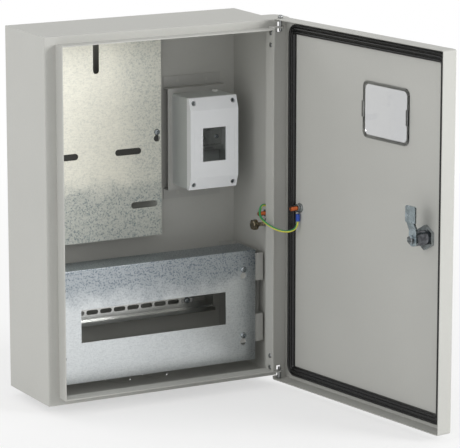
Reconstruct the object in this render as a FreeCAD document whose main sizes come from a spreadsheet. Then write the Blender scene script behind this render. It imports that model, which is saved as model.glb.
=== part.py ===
import FreeCAD, Part
import os
import Sketcher

# Electric meter box: a wall-hung sheet steel casing with a hinged door, a meter plate,
# a small breaker box and a lower false panel in front of a module rail.
# Millimetres. The origin is the centre of the four wall holes on the back plane,
# X to the right, Z up, the door towards -Y.

doc = FreeCAD.newDocument("electric_meter_box")
sheet = doc.addObject("Spreadsheet::Sheet", "sizes")
sheet.set("A1", "name")
sheet.set("B1", "value")


def number(value):
    """Plain number of a Size or of a number."""
    return value.value if isinstance(value, Size) else float(value)


def text(value):
    """Sheet formula of a Size or of a number."""
    return value.text if isinstance(value, Size) else repr(float(value))


class Size:
    """A length that carries its sheet formula along with its present value."""

    def __init__(self, formula, value):
        self.text = formula
        self.value = value

    def joined(self, other, sign, value, swapped=False):
        first, second = (text(other), self.text) if swapped else (self.text, text(other))
        return Size("(%s %s %s)" % (first, sign, second), value)

    def __add__(self, other):
        return self.joined(other, "+", self.value + number(other))

    def __radd__(self, other):
        return self.joined(other, "+", number(other) + self.value, True)

    def __sub__(self, other):
        return self.joined(other, "-", self.value - number(other))

    def __rsub__(self, other):
        return self.joined(other, "-", number(other) - self.value, True)

    def __mul__(self, other):
        return self.joined(other, "*", self.value * number(other))

    def __rmul__(self, other):
        return self.joined(other, "*", number(other) * self.value, True)

    def __truediv__(self, other):
        return self.joined(other, "/", self.value / number(other))

    def __neg__(self):
        return Size("(0 - %s)" % self.text, -self.value)


rows = []


def size(name, value):
    """One driving dimension, kept in the sheet under its own name."""
    rows.append(name)
    row = len(rows) + 1
    sheet.set("A%d" % row, name)
    sheet.set("B%d" % row, str(value))
    sheet.setAlias("B%d" % row, name)
    return Size("sizes." + name, float(value))


# Casing
case_width = size("case_width", 350)
case_height = size("case_height", 500)
case_depth = size("case_depth", 124)
case_steel = size("case_steel", 1.2)
bend_radius = size("bend_radius", 1.0)
flange_side = size("flange_side", 16)
flange_end = size("flange_end", 10.5)
lip_reach = size("lip_reach", 20)
wall_hole_radius = size("wall_hole_radius", 3.5)
wall_hole_across = size("wall_hole_across", 270)
wall_hole_up = size("wall_hole_up", 444)
knock_radius = size("knock_radius", 18)
knock_groove = size("knock_groove", 1.6)
knock_spacing = size("knock_spacing", 57)
knock_shift = size("knock_shift", 3)
knock_front = size("knock_front", 43)
knock_bridge = size("knock_bridge", 4)
lug_reach = size("lug_reach", 24)
lug_length = size("lug_length", 43)
lug_radius = size("lug_radius", 13)
lug_setback = size("lug_setback", 1.5)

# Clearances that the fits are made from
rotating_fit = size("rotating_fit", 0.05)
loose_fit = size("loose_fit", 0.2)
standing_gap = size("standing_gap", 0.3)

# Door and hinge
door_over_side = size("door_over_side", 2)
door_over_end = size("door_over_end", 3)
door_depth = size("door_depth", 22)
door_gap = size("door_gap", 4)
door_steel = size("door_steel", 1.2)
door_corner = size("door_corner", 3)
door_angle = size("door_angle", 98)
hinge_inset = size("hinge_inset", 2.5)
hinge_forward = size("hinge_forward", 12)
pin_radius = size("pin_radius", 2)
pin_head_radius = size("pin_head_radius", 3.6)
pin_head_height = size("pin_head_height", 4.4)
pin_shoulder_radius = size("pin_shoulder_radius", 2.7)
pin_end_radius = size("pin_end_radius", 1.6)
bracket_steel = size("bracket_steel", 2)
bracket_height = size("bracket_height", 32)
bracket_inset = size("bracket_inset", 8)
bracket_width = size("bracket_width", 16)
tongue_radius = size("tongue_radius", 4.5)
rivet_radius = size("rivet_radius", 2)
rivet_head_radius = size("rivet_head_radius", 3.4)
rivet_head_height = size("rivet_head_height", 1.2)
rivet_first = size("rivet_first", 8)
rivet_pitch = size("rivet_pitch", 16.5)
notch_height = size("notch_height", 14)

# Gasket and window
gasket_width = size("gasket_width", 13)
gasket_height = size("gasket_height", 4.5)
gasket_outer_radius = size("gasket_outer_radius", 14)
gasket_inner_radius = size("gasket_inner_radius", 5)
gasket_groove_width = size("gasket_groove_width", 1.8)
gasket_groove_shift = size("gasket_groove_shift", 2.3)
gasket_groove_depth = size("gasket_groove_depth", 1.3)
window_width = size("window_width", 94)
window_height = size("window_height", 76)
window_corner = size("window_corner", 9)
window_overlap = size("window_overlap", 4)
window_from_hinge = size("window_from_hinge", 217)
window_up = size("window_up", 151.5)
pane_thickness = size("pane_thickness", 2)
clip_height = size("clip_height", 21)
clip_width = size("clip_width", 3)

# Lock
lock_from_edge = size("lock_from_edge", 52)
barrel_radius = size("barrel_radius", 9.4)
barrel_reach = size("barrel_reach", 22.9)
lock_face_radius = size("lock_face_radius", 14)
lock_face_height = size("lock_face_height", 3)
lock_nut_across = size("lock_nut_across", 29)
lock_nut_height = size("lock_nut_height", 5)
core_radius = size("core_radius", 6)
core_square = size("core_square", 7)
cam_thickness = size("cam_thickness", 2.5)
cam_length = size("cam_length", 45)
cam_plate_length = size("cam_plate_length", 21)
cam_plate_width = size("cam_plate_width", 19.5)
cam_neck_width = size("cam_neck_width", 14.6)
cam_crank = size("cam_crank", 4.5)
cam_bolt_across = size("cam_bolt_across", 10)
cam_bolt_height = size("cam_bolt_height", 4)

# Meter plate
meter_plate_width = size("meter_plate_width", 198)
meter_plate_height = size("meter_plate_height", 285)
meter_plate_steel = size("meter_plate_steel", 1)
meter_plate_front = size("meter_plate_front", 25)
meter_plate_left = size("meter_plate_left", 52)
meter_plate_up = size("meter_plate_up", 87.5)
meter_slot_width = size("meter_slot_width", 9)
meter_slot_long = size("meter_slot_long", 40)
meter_top_slot_long = size("meter_top_slot_long", 48)
meter_slot_mid_up = size("meter_slot_mid_up", 66)
meter_slot_low_up = size("meter_slot_low_up", -10)

# Breaker box and its hat section
hat_steel = size("hat_steel", 1.2)
hat_depth = size("hat_depth", 15)
hat_foot = size("hat_foot", 15)
box_hat_width = size("box_hat_width", 89)
box_hat_height = size("box_hat_height", 143)
box_hat_right = size("box_hat_right", 106.5)
box_hat_up = size("box_hat_up", 75.5)
box_width = size("box_width", 74)
box_height = size("box_height", 128)
box_right = size("box_right", 106)
box_up = size("box_up", 76)
box_wall = size("box_wall", 2)
box_base_depth = size("box_base_depth", 43)
box_cover_depth = size("box_cover_depth", 5.5)
box_cover_rise = size("box_cover_rise", 6)
box_cover_end = size("box_cover_end", 17)
box_window_width = size("box_window_width", 36)
box_window_height = size("box_window_height", 47)
box_window_drop = size("box_window_drop", 1.5)
box_entry_shift = size("box_entry_shift", 25)
box_entry_depth = size("box_entry_depth", 9.5)

# Rail, false panel and its brackets
rail_width = size("rail_width", 35)
rail_rise = size("rail_rise", 7.5)
rail_steel = size("rail_steel", 1)
rail_web = size("rail_web", 25)
rail_front = size("rail_front", 37)
rail_length = size("rail_length", 250)
rail_up = size("rail_up", -152.5)
rail_slot_pitch = size("rail_slot_pitch", 21)
rail_slot_long = size("rail_slot_long", 18)
rail_slot_width = size("rail_slot_width", 6.3)
cover_width = size("cover_width", 315)
cover_height = size("cover_height", 157)
cover_steel = size("cover_steel", 1)
cover_front = size("cover_front", 94)
cover_return = size("cover_return", 46)
cover_up = size("cover_up", -153.5)
cutout_width = size("cutout_width", 222)
cutout_height = size("cutout_height", 46)
cover_screw_across = size("cover_screw_across", 277)
cover_screw_up = size("cover_screw_up", 94)
cover_screw_middle = size("cover_screw_middle", -148.5)
tab_width = size("tab_width", 38)
tab_height = size("tab_height", 39)
tab_spacing = size("tab_spacing", 87)
tab_side_gap = size("tab_side_gap", 3)
tab_middle = size("tab_middle", -143.5)

# Screws with pan heads
screw_radius = size("screw_radius", 2)
screw_head_radius = size("screw_head_radius", 4.2)
screw_head_height = size("screw_head_height", 2.8)
keyhole_radius = size("keyhole_radius", 4.6)
keyhole_drop = size("keyhole_drop", 9)
small_head_radius = size("small_head_radius", 3)
small_head_height = size("small_head_height", 1.8)

# Earthing
stud_radius = size("stud_radius", 3)
stud_length = size("stud_length", 17)
stud_behind = size("stud_behind", 21)
stud_up = size("stud_up", -22.8)
door_stud_from_edge = size("door_stud_from_edge", 34)
door_stud_up = size("door_stud_up", -6)
nut_across = size("nut_across", 10)
nut_height = size("nut_height", 5)
washer_radius = size("washer_radius", 6.2)
washer_thickness = size("washer_thickness", 1.2)
bolt_behind = size("bolt_behind", 22)
bolt_up = size("bolt_up", -37.8)
bolt_reach = size("bolt_reach", 26)
bolt_across = size("bolt_across", 13)
bolt_head_height = size("bolt_head_height", 5.5)
big_washer_radius = size("big_washer_radius", 7.8)
ring_radius = size("ring_radius", 5.6)
ring_thickness = size("ring_thickness", 0.8)
sleeve_radius = size("sleeve_radius", 2.9)
sleeve_start = size("sleeve_start", 6.6)
sleeve_length = size("sleeve_length", 12)
terminal_lean = size("terminal_lean", 40)
wire_radius = size("wire_radius", 1.65)

doc.recompute()

bodies = {}
pockets = []


def bind(thing, name, value):
    """Ties one property of a document object to the sheet."""
    if isinstance(value, Size):
        thing.setExpression(name, value.text)
        return
    thing.setExpression(name, repr(float(value)))


def new_body(label):
    body = doc.addObject("PartDesign::Body", label)
    body.Label = label
    bodies[label] = body
    return body


class Outline:
    """A closed run of straight lines through corners."""

    def __init__(self, *corners):
        self.corners = corners

    def draw(self, sketch):
        first = sketch.GeometryCount
        places = [FreeCAD.Vector(number(a), number(b), 0) for a, b in self.corners]
        count = len(places)
        lines = [Part.LineSegment(places[i], places[(i + 1) % count]) for i in range(count)]
        sketch.addGeometry(lines, False)
        for i, (a, b) in enumerate(self.corners):
            sketch.addConstraint(Sketcher.Constraint("Coincident", first + i, 2, first + (i + 1) % count, 1))
            fixed(sketch, first + i, 1, a, b)


def fixed(sketch, line, point, across, along):
    """Holds one point of a sketch at its two distances from the sketch's origin."""
    k = sketch.addConstraint(Sketcher.Constraint("DistanceX", -1, 1, line, point, number(across)))
    bind(sketch, "Constraints[%d]" % k, across)
    k = sketch.addConstraint(Sketcher.Constraint("DistanceY", -1, 1, line, point, number(along)))
    bind(sketch, "Constraints[%d]" % k, along)


def rectangle(left, low, right, high):
    return Outline((left, low), (right, low), (right, high), (left, high))


def middled(centre, middle, width, height):
    """Rectangle given by its centre."""
    return rectangle(centre - width / 2, middle - height / 2, centre + width / 2, middle + height / 2)


class Disc:
    """A circle by its centre and radius."""

    def __init__(self, across, along, radius):
        self.across = across
        self.along = along
        self.radius = radius

    def draw(self, sketch):
        centre = FreeCAD.Vector(number(self.across), number(self.along), 0)
        circle = Part.Circle(centre, FreeCAD.Vector(0, 0, 1), number(self.radius))
        line = sketch.addGeometry(circle, False)
        fixed(sketch, line, 3, self.across, self.along)
        k = sketch.addConstraint(Sketcher.Constraint("Radius", line, number(self.radius)))
        bind(sketch, "Constraints[%d]" % k, self.radius)


class Hexagon:
    """A six-sided outline by the width across its flats, a corner towards the sketch's vertical."""

    def __init__(self, across, along, flats):
        half = flats / 2
        side = flats * 0.288675135
        corner = flats * 0.577350269
        self.outline = Outline(
            (across + half, along + side), (across, along + corner), (across - half, along + side),
            (across - half, along - side), (across, along - corner), (across + half, along - side))

    def draw(self, sketch):
        self.outline.draw(sketch)


class Rounded:
    """A rectangle with four equal round corners."""

    def __init__(self, left, low, right, high, radius):
        self.sides = (left, low, right, high)
        self.radius = radius

    def draw(self, sketch):
        left, low, right, high = self.sides
        r = self.radius
        centres = [(right - r, high - r), (left + r, high - r), (left + r, low + r), (right - r, low + r)]
        arcs = []
        for quarter, (a, b) in enumerate(centres):
            circle = Part.Circle(FreeCAD.Vector(number(a), number(b), 0), FreeCAD.Vector(0, 0, 1), number(r))
            arcs.append(Part.ArcOfCircle(circle, quarter * 1.5707963, (quarter + 1) * 1.5707963))
        first = sketch.GeometryCount
        sketch.addGeometry(arcs, False)
        lines = []
        for i in range(4):
            lines.append(Part.LineSegment(arcs[i].EndPoint, arcs[(i + 1) % 4].StartPoint))
        sketch.addGeometry(lines, False)
        for i in range(4):
            line = first + 4 + i
            sketch.addConstraint(Sketcher.Constraint("Tangent", first + i, 2, line, 1))
            sketch.addConstraint(Sketcher.Constraint("Tangent", line, 2, first + (i + 1) % 4, 1))
        for i, (a, b) in enumerate(centres):
            fixed(sketch, first + i, 3, a, b)
            k = sketch.addConstraint(Sketcher.Constraint("Radius", first + i, number(r)))
            bind(sketch, "Constraints[%d]" % k, r)


class Slot:
    """A slot with round ends, along the sketch's first axis or upright."""

    def __init__(self, across, along, length, width, upright=False):
        self.centre = (across, along)
        self.reach = length / 2 - width / 2
        self.radius = width / 2
        self.upright = upright

    def draw(self, sketch):
        a, b = self.centre
        turn = 1.5707963 if self.upright else 0.0
        if self.upright:
            ends = [(a, b + self.reach), (a, b - self.reach)]
        else:
            ends = [(a + self.reach, b), (a - self.reach, b)]
        arcs = []
        for i, (u, v) in enumerate(ends):
            circle = Part.Circle(FreeCAD.Vector(number(u), number(v), 0), FreeCAD.Vector(0, 0, 1), number(self.radius))
            start = turn - 1.5707963 + i * 3.1415927
            arcs.append(Part.ArcOfCircle(circle, start, start + 3.1415927))
        first = sketch.GeometryCount
        sketch.addGeometry(arcs, False)
        lines = [Part.LineSegment(arcs[0].EndPoint, arcs[1].StartPoint),
                 Part.LineSegment(arcs[1].EndPoint, arcs[0].StartPoint)]
        sketch.addGeometry(lines, False)
        sketch.addConstraint(Sketcher.Constraint("Tangent", first, 2, first + 2, 1))
        sketch.addConstraint(Sketcher.Constraint("Tangent", first + 2, 2, first + 1, 1))
        sketch.addConstraint(Sketcher.Constraint("Tangent", first + 1, 2, first + 3, 1))
        sketch.addConstraint(Sketcher.Constraint("Tangent", first + 3, 2, first, 1))
        for i, (u, v) in enumerate(ends):
            fixed(sketch, first + i, 3, u, v)
            k = sketch.addConstraint(Sketcher.Constraint("Radius", first + i, number(self.radius)))
            bind(sketch, "Constraints[%d]" % k, self.radius)


def sketch_on(body, plane, level, shapes):
    """A sketch parallel to one of the body's planes, with its closed outlines."""
    planes = {feature.Role: feature for feature in body.Origin.OriginFeatures}
    sketch = body.newObject("Sketcher::SketchObject", body.Label + "_sketch")
    sketch.AttachmentSupport = [(planes[plane], "")]
    sketch.MapMode = "FlatFace"
    bind(sketch, "AttachmentOffset.Base.z", level)
    for shape in shapes:
        shape.draw(sketch)
    return sketch


def pad(body, plane, start, end, *shapes):
    """Adds material from one level to a higher one. The levels of XZ_Plane count towards -Y."""
    sketch = sketch_on(body, plane, start, shapes)
    feature = body.newObject("PartDesign::Pad", body.Label + "_pad")
    feature.Profile = sketch
    bind(feature, "Length", end - start)
    return feature


def pocket(body, plane, start, end, *shapes):
    """Removes material between two levels."""
    sketch = sketch_on(body, plane, end, shapes)
    feature = body.newObject("PartDesign::Pocket", body.Label + "_pocket")
    feature.Profile = sketch
    bind(feature, "Length", end - start)
    pockets.append(feature)
    return feature


def turned(body, *corners):
    """A turned piece about the body's Z axis, by corners of radius and height."""
    sketch = sketch_on(body, "XZ_Plane", 0, [Outline(*corners)])
    feature = body.newObject("PartDesign::Revolution", body.Label + "_turned")
    feature.Profile = sketch
    feature.ReferenceAxis = (sketch, ["V_Axis"])
    feature.Angle = 360
    return feature


def fillet(body, radius, test):
    """Rounds the edges of the body's last feature that pass the test."""
    doc.recompute()
    last = body.Tip
    names = ["Edge%d" % (i + 1) for i, edge in enumerate(last.Shape.Edges) if test(edge)]
    feature = body.newObject("PartDesign::Fillet", body.Label + "_fillet")
    feature.Base = (last, names)
    bind(feature, "Radius", radius)
    return feature


def edge_at(edge, axis, value):
    """True if the whole edge lies at one value of an axis."""
    box = edge.BoundBox
    low, high = ((box.XMin, box.XMax), (box.YMin, box.YMax), (box.ZMin, box.ZMax))[axis]
    return abs(low - number(value)) < 0.02 and abs(high - number(value)) < 0.02


def near(vector, x=None, y=None, z=None):
    """True if a point lies at the given values."""
    wanted = ((vector.x, x), (vector.y, y), (vector.z, z))
    return all(b is None or abs(a - number(b)) < 0.02 for a, b in wanted)


def place(body, x=0, y=0, z=0, axis=(0, 0, 1), angle=0):
    """Puts a body at its place, tied to the sheet."""
    body.Placement = FreeCAD.Placement(FreeCAD.Vector(0, 0, 0), FreeCAD.Rotation(FreeCAD.Vector(*axis), 10))
    bind(body, "Placement.Base.x", x)
    bind(body, "Placement.Base.y", y)
    bind(body, "Placement.Base.z", z)
    body.setExpression("Placement.Rotation.Angle", "%s * 1 deg" % text(angle))


half_width = case_width / 2
half_height = case_height / 2

# Hinge axis, and the door's own levels from it: out is towards the front of the closed door
hinge_x = half_width - hinge_inset
hinge_front = case_depth + hinge_forward
skin_out = door_gap + door_depth - hinge_forward
rim_out = door_gap - hinge_forward
inner_out = skin_out - door_steel
hinge_edge = hinge_inset + door_over_side
free_edge = -(hinge_x + half_width + door_over_side)
door_top = half_height + door_over_end


def hang(body):
    """Gives a piece of the door the door's own place: open, about the hinge axis."""
    place(body, hinge_x, -hinge_front, 0, (0, 0, 1), door_angle)


# Casing: folded box, front flange turned in and a lip turned forward all round
body = new_body("casing_shell")
lip_x = half_width - flange_side
lip_z = half_height - flange_end
pad(body, "XZ_Plane", 0, case_depth, rectangle(-half_width, -half_height, half_width, half_height))
inside_x = half_width - case_steel
inside_z = half_height - case_steel
pocket(body, "XZ_Plane", case_steel, case_depth - case_steel, rectangle(-inside_x, -inside_z, inside_x, inside_z))
pocket(body, "XZ_Plane", case_depth - case_steel * 2, case_depth,
       rectangle(-(lip_x - case_steel), -(lip_z - case_steel), lip_x - case_steel, lip_z - case_steel))
fillet(body, bend_radius, lambda e: sum([
    abs(abs(e.BoundBox.Center.x) - number(half_width)) < 0.01,
    abs(abs(e.BoundBox.Center.z) - number(half_height)) < 0.01,
    near(e.BoundBox.Center, y=0) or near(e.BoundBox.Center, y=-case_depth)]) == 2)
pad(body, "XZ_Plane", case_depth - case_steel, case_depth + lip_reach,
    rectangle(-lip_x, -lip_z, lip_x, lip_z),
    rectangle(-(lip_x - case_steel), -(lip_z - case_steel), lip_x - case_steel, lip_z - case_steel))
wall_holes = [Disc(a * wall_hole_across / 2, b * wall_hole_up / 2, wall_hole_radius) for a in (-1, 1) for b in (-1, 1)]
pocket(body, "XZ_Plane", 0, case_steel, *wall_holes)
for side in (-1, 1):
    centre = side * knock_spacing / 2 - knock_shift
    pocket(body, "XY_Plane", -half_height, case_steel - half_height,
           Disc(centre, -knock_front, knock_radius), Disc(centre, -knock_front, knock_radius - knock_groove))
    pad(body, "XY_Plane", -half_height, case_steel - half_height,
        rectangle(centre - knock_radius - 1, -knock_front - knock_bridge / 2,
                  centre + knock_radius + 1, -knock_front + knock_bridge / 2))
lug_right = half_width + lug_reach
pad(body, "XY_Plane", half_height - case_steel, half_height,
    Rounded(half_width - lug_radius * 3, lug_setback - case_depth, lug_right,
            lug_setback + lug_length - case_depth, lug_radius))

# Hinge brackets: a leg riveted to the lip and a tongue that carries the pin
for label, up in (("hinge_bracket_top", 1), ("hinge_bracket_bottom", -1)):
    body = new_body(label)
    outer = up * (half_height - bracket_inset)
    inner = up * (half_height - bracket_inset - bracket_height)
    under = up * (half_height - bracket_inset - bracket_steel)
    low, high = (inner, outer) if up > 0 else (outer, inner)
    pad(body, "XZ_Plane", hinge_front - bracket_width / 2, hinge_front + bracket_width / 2 - 1,
        rectangle(lip_x, low, lip_x + bracket_steel, high))
    low, high = (under, outer) if up > 0 else (outer, under)
    pad(body, "XY_Plane", low, high,
        rectangle(lip_x + bracket_steel / 2, -hinge_front - tongue_radius, hinge_x, tongue_radius - hinge_front))
    pad(body, "XY_Plane", low, high, Disc(hinge_x, -hinge_front, tongue_radius))
    pocket(body, "XY_Plane", low - 1, high + 1, Disc(hinge_x, -hinge_front, pin_radius + rotating_fit))
    fillet(body, bracket_steel * 0.45, lambda e: near(e.BoundBox.Center, x=lip_x, z=outer))
    rivets = [up * (half_height - bracket_inset - rivet_first - k * rivet_pitch) for k in (0, 1)]
    pocket(body, "YZ_Plane", lip_x - 1, lip_x + bracket_steel + 1,
           *[Disc(-hinge_front, level, rivet_radius + rotating_fit) for level in rivets])

body = bodies["casing_shell"]
rivet_levels = [up * (half_height - bracket_inset - rivet_first - k * rivet_pitch) for up in (1, -1) for k in (0, 1)]
pocket(body, "YZ_Plane", lip_x - case_steel - 1, lip_x + 1,
       *[Disc(-hinge_front, level, rivet_radius + rotating_fit) for level in rivet_levels])

body = new_body("hinge_rivets")
inner_face = lip_x - case_steel
outer_face = lip_x + bracket_steel
pad(body, "YZ_Plane", inner_face - rivet_head_height, inner_face,
    *[Disc(-hinge_front, level, rivet_head_radius) for level in rivet_levels])
pad(body, "YZ_Plane", inner_face - 0.1, outer_face + 0.8,
    *[Disc(-hinge_front, level, rivet_radius) for level in rivet_levels])
pad(body, "YZ_Plane", outer_face, outer_face + 0.8,
    *[Disc(-hinge_front, level, rivet_head_radius - 0.4) for level in rivet_levels])
fillet(body, rivet_head_height * 0.8, lambda e: edge_at(e, 0, inner_face - rivet_head_height))

# Upper hinge pin: domed head above the door's top, shank through the door and the tongue
body = new_body("hinge_pin_top")
seat = door_top + standing_gap
turned(body, (0, half_height - bracket_inset - bracket_steel - 5), (pin_radius - 0.6, half_height - bracket_inset - bracket_steel - 5),
       (pin_radius, half_height - bracket_inset - bracket_steel - 4), (pin_radius, seat), (pin_head_radius, seat),
       (pin_head_radius, seat + pin_head_height), (0, seat + pin_head_height))
fillet(body, pin_head_height * 0.5, lambda e: edge_at(e, 2, seat + pin_head_height))
place(body, hinge_x, -hinge_front, 0)

# Lower hinge pin: shoulder under the tongue, thin end through the door's bottom
body = new_body("hinge_pin_bottom")
tongue_low = bracket_inset - half_height
door_floor = door_steel - door_top
turned(body, (0, door_floor - door_steel - 3), (pin_end_radius - 0.5, door_floor - door_steel - 3),
       (pin_end_radius, door_floor - door_steel - 2.2), (pin_end_radius, door_floor + standing_gap),
       (pin_shoulder_radius, door_floor + standing_gap), (pin_shoulder_radius, tongue_low),
       (pin_radius, tongue_low), (pin_radius, tongue_low + bracket_steel + 4), (pin_radius - 0.6, tongue_low + bracket_steel + 5),
       (0, tongue_low + bracket_steel + 5))
place(body, hinge_x, -hinge_front, 0)


def keyhole(across, along, shank):
    """Round entry below and a narrow slot up to the screw, as two outlines of one cut."""
    return [Disc(across, along - keyhole_drop, keyhole_radius),
            Slot(across, along - keyhole_drop / 2, keyhole_drop + shank * 2, shank * 2, True)]


def hat(label, left, right, middle, height, depth):
    """Hat section with its face forward and two feet on the back wall, open at both ends."""
    piece = new_body(label)
    foot = height / 2 + hat_foot
    top = height / 2
    start = case_steel
    front = case_steel + depth
    corners = [
        (-start, middle + foot), (-start, middle + top - hat_steel), (-(front - hat_steel), middle + top - hat_steel),
        (-(front - hat_steel), middle - top + hat_steel), (-start, middle - top + hat_steel), (-start, middle - foot),
        (-(start + hat_steel), middle - foot), (-(start + hat_steel), middle - top), (-front, middle - top),
        (-front, middle + top), (-(start + hat_steel), middle + top), (-(start + hat_steel), middle + foot)]
    pad(piece, "YZ_Plane", left, right, Outline(*corners))
    return piece


# Pan head screws: heads, cross recesses and shanks of one group
def pan_screws(label, places, face, length, head_radius, head_height, shank_radius):
    """Screws driven from the front with their heads on one face."""
    piece = new_body(label)
    pad(piece, "XZ_Plane", face, face + head_height, *[Disc(a, b, head_radius) for a, b in places])
    fillet(piece, head_height * 0.6, lambda e: edge_at(e, 1, -(face + head_height)))
    pad(piece, "XZ_Plane", face - length, face + 0.1, *[Disc(a, b, shank_radius) for a, b in places])
    arm = head_radius * 0.55
    thick = head_radius * 0.16
    for a, b in places:
        pocket(piece, "XZ_Plane", face + head_height * 0.35, face + head_height + 0.5, Outline(
            (a - arm, b - thick), (a - thick, b - thick), (a - thick, b - arm), (a + thick, b - arm),
            (a + thick, b - thick), (a + arm, b - thick), (a + arm, b + thick), (a + thick, b + thick),
            (a + thick, b + arm), (a - thick, b + arm), (a - thick, b + thick), (a - arm, b + thick)))
    return piece


# Meter plate on a hat section at its middle height
meter_back = meter_plate_front - meter_plate_steel
meter_screw_x = meter_plate_width / 2 - 7
meter_screw_z = meter_plate_up + 2.5
body = hat("meter_plate_bracket", -meter_plate_left - meter_plate_width / 2 + 4, -meter_plate_left + meter_plate_width / 2 - 4,
           meter_screw_z - 4, size("meter_hat_height", 60), meter_back - case_steel)
meter_places = [(-meter_plate_left + side * meter_screw_x, meter_screw_z) for side in (-1, 1)]
pocket(body, "XZ_Plane", meter_back - hat_steel - 1, meter_back + 1, *[Disc(a, b, screw_radius + rotating_fit) for a, b in meter_places])

body = new_body("meter_plate")
pad(body, "XZ_Plane", meter_back, meter_plate_front,
    middled(-meter_plate_left, meter_plate_up, meter_plate_width, meter_plate_height))
pocket(body, "XZ_Plane", meter_back - 1, meter_plate_front + 1,
       Slot(-meter_plate_left, meter_plate_up + meter_plate_height / 2 - 4 - meter_top_slot_long / 2, meter_top_slot_long, meter_slot_width, True),
       *[Slot(-meter_plate_left + side * 48, meter_slot_mid_up, meter_slot_long, meter_slot_width) for side in (-1, 1)],
       *[Slot(-meter_plate_left + side * 72, meter_slot_low_up, meter_slot_long, meter_slot_width) for side in (-1, 1)])
for a, b in meter_places:
    for shape in keyhole(a, b, screw_radius + loose_fit):
        pocket(body, "XZ_Plane", meter_back - 1, meter_plate_front + 1, shape)
pan_screws("meter_plate_screws", meter_places, meter_plate_front, 8, screw_head_radius, screw_head_height, screw_radius)

# Hat section of the breaker box, welded to the back
body = hat("breaker_box_bracket", box_hat_right - box_hat_width / 2, box_hat_right + box_hat_width / 2, box_hat_up, box_hat_height, hat_depth)
box_seat = case_steel + hat_depth
fixing_places = [(box_right + 12 * side, box_up + 41 * side) for side in (-1, 1)]
pocket(body, "XZ_Plane", box_seat - hat_steel - 1, box_seat + 1, *[Disc(a, b, 1.75) for a, b in fixing_places])

# Breaker box, moulded base: open tray with corner posts and two rail posts
body = new_body("breaker_box_base")
base_front = box_seat + box_base_depth
pad(body, "XZ_Plane", box_seat, base_front, middled(box_right, box_up, box_width, box_height))
pocket(body, "XZ_Plane", box_seat + box_wall, base_front + 0.5,
       middled(box_right, box_up, box_width - box_wall * 2, box_height - box_wall * 2))
fillet(body, size("box_corner", 2.5), lambda e: edge_at(e, 0, box_right + box_width / 2 * (1 if e.BoundBox.Center.x > number(box_right) else -1))
       and e.BoundBox.YLength > 10)
post_x = box_width / 2 - 6.5
post_z = box_height / 2 - 7
posts = [(box_right + a * post_x, box_up + b * post_z) for a in (-1, 1) for b in (-1, 1)]
pad(body, "XZ_Plane", box_seat + box_wall / 2, base_front, *[Disc(a, b, 4) for a, b in posts])
rail_posts = [(box_right + side * 27, box_up) for side in (-1, 1)]
box_rail_back = box_seat + 9
pad(body, "XZ_Plane", box_seat + box_wall / 2, box_rail_back, *[middled(a, b, 8, 24) for a, b in rail_posts])
pocket(body, "XZ_Plane", base_front - 12, base_front + 0.5, *[Disc(a, b, 1.6) for a, b in posts])
pocket(body, "XZ_Plane", box_rail_back - 7, box_rail_back + 0.5, *[Disc(a, b, 1.6) for a, b in rail_posts])
pocket(body, "XZ_Plane", box_seat - 0.5, box_seat + box_wall + 0.5, *[Disc(a, b, 1.75) for a, b in fixing_places])
entry_x = box_right + box_entry_shift
entry_front = box_seat + box_entry_depth
pocket(body, "XY_Plane", box_up + box_height / 2 - box_wall - 0.5, box_up + box_height / 2 + 0.5,
       Disc(entry_x, -entry_front, 3.2), Disc(box_right - 30, -entry_front, 1.2))

# Cable entry plug in its top
body = new_body("breaker_box_entry_plug")
turned(body, (0, -4), (2.2, -4), (2.95, -3), (2.95, 0), (4.6, 0), (4.6, 1.2), (3.6, 2.2), (0, 2.2))
place(body, entry_x, -entry_front, box_up + box_height / 2)

# Breaker box, moulded cover with a raised middle and the module window
body = new_body("breaker_box_cover")
cover_seat = base_front
cover_edge = cover_seat + box_cover_depth
cover_face = cover_edge + box_cover_rise
top_z = box_up + box_height / 2
low_z = box_up - box_height / 2
left_x = box_right - box_width / 2
right_x = box_right + box_width / 2
bevel = box_cover_end
inner = box_wall
pad(body, "YZ_Plane", left_x, right_x, Outline(
    (-cover_seat, top_z), (-cover_edge, top_z), (-cover_face, top_z - bevel), (-cover_face, low_z + bevel),
    (-cover_edge, low_z), (-cover_seat, low_z)))
pocket(body, "YZ_Plane", left_x + inner, right_x - inner, Outline(
    (-(cover_seat - 1), top_z - inner), (-(cover_edge - inner), top_z - inner), (-(cover_face - inner), top_z - bevel - 0.6),
    (-(cover_face - inner), low_z + bevel + 0.6), (-(cover_edge - inner), low_z + inner), (-(cover_seat - 1), low_z + inner)))
pocket(body, "XZ_Plane", cover_seat, cover_face + 1,
       middled(box_right, box_up - box_window_drop, box_window_width, box_window_height))
pad(body, "XZ_Plane", cover_seat, cover_edge - 1, *[Disc(a, b, 4) for a, b in posts])
pocket(body, "XZ_Plane", cover_seat - 1, cover_face + 1, *[Disc(a, b, 1.8) for a, b in posts])
pocket(body, "XZ_Plane", cover_edge - 1.2, cover_face + 1, *[Disc(a, b, 3.4) for a, b in posts])
for side in (-1, 1):
    for step in (1, 2):
        pocket(body, "XZ_Plane", cover_face - 0.4, cover_face + 0.5,
               middled(box_right + side * (box_window_width / 2 + 8.5 * step - 4), box_up - box_window_drop,
                       0.6, box_window_height))
pan_screws("breaker_box_cover_screws", posts, cover_edge - 1.2, 12, small_head_radius, small_head_height, 1.45)

# Short rail in the breaker box


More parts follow.
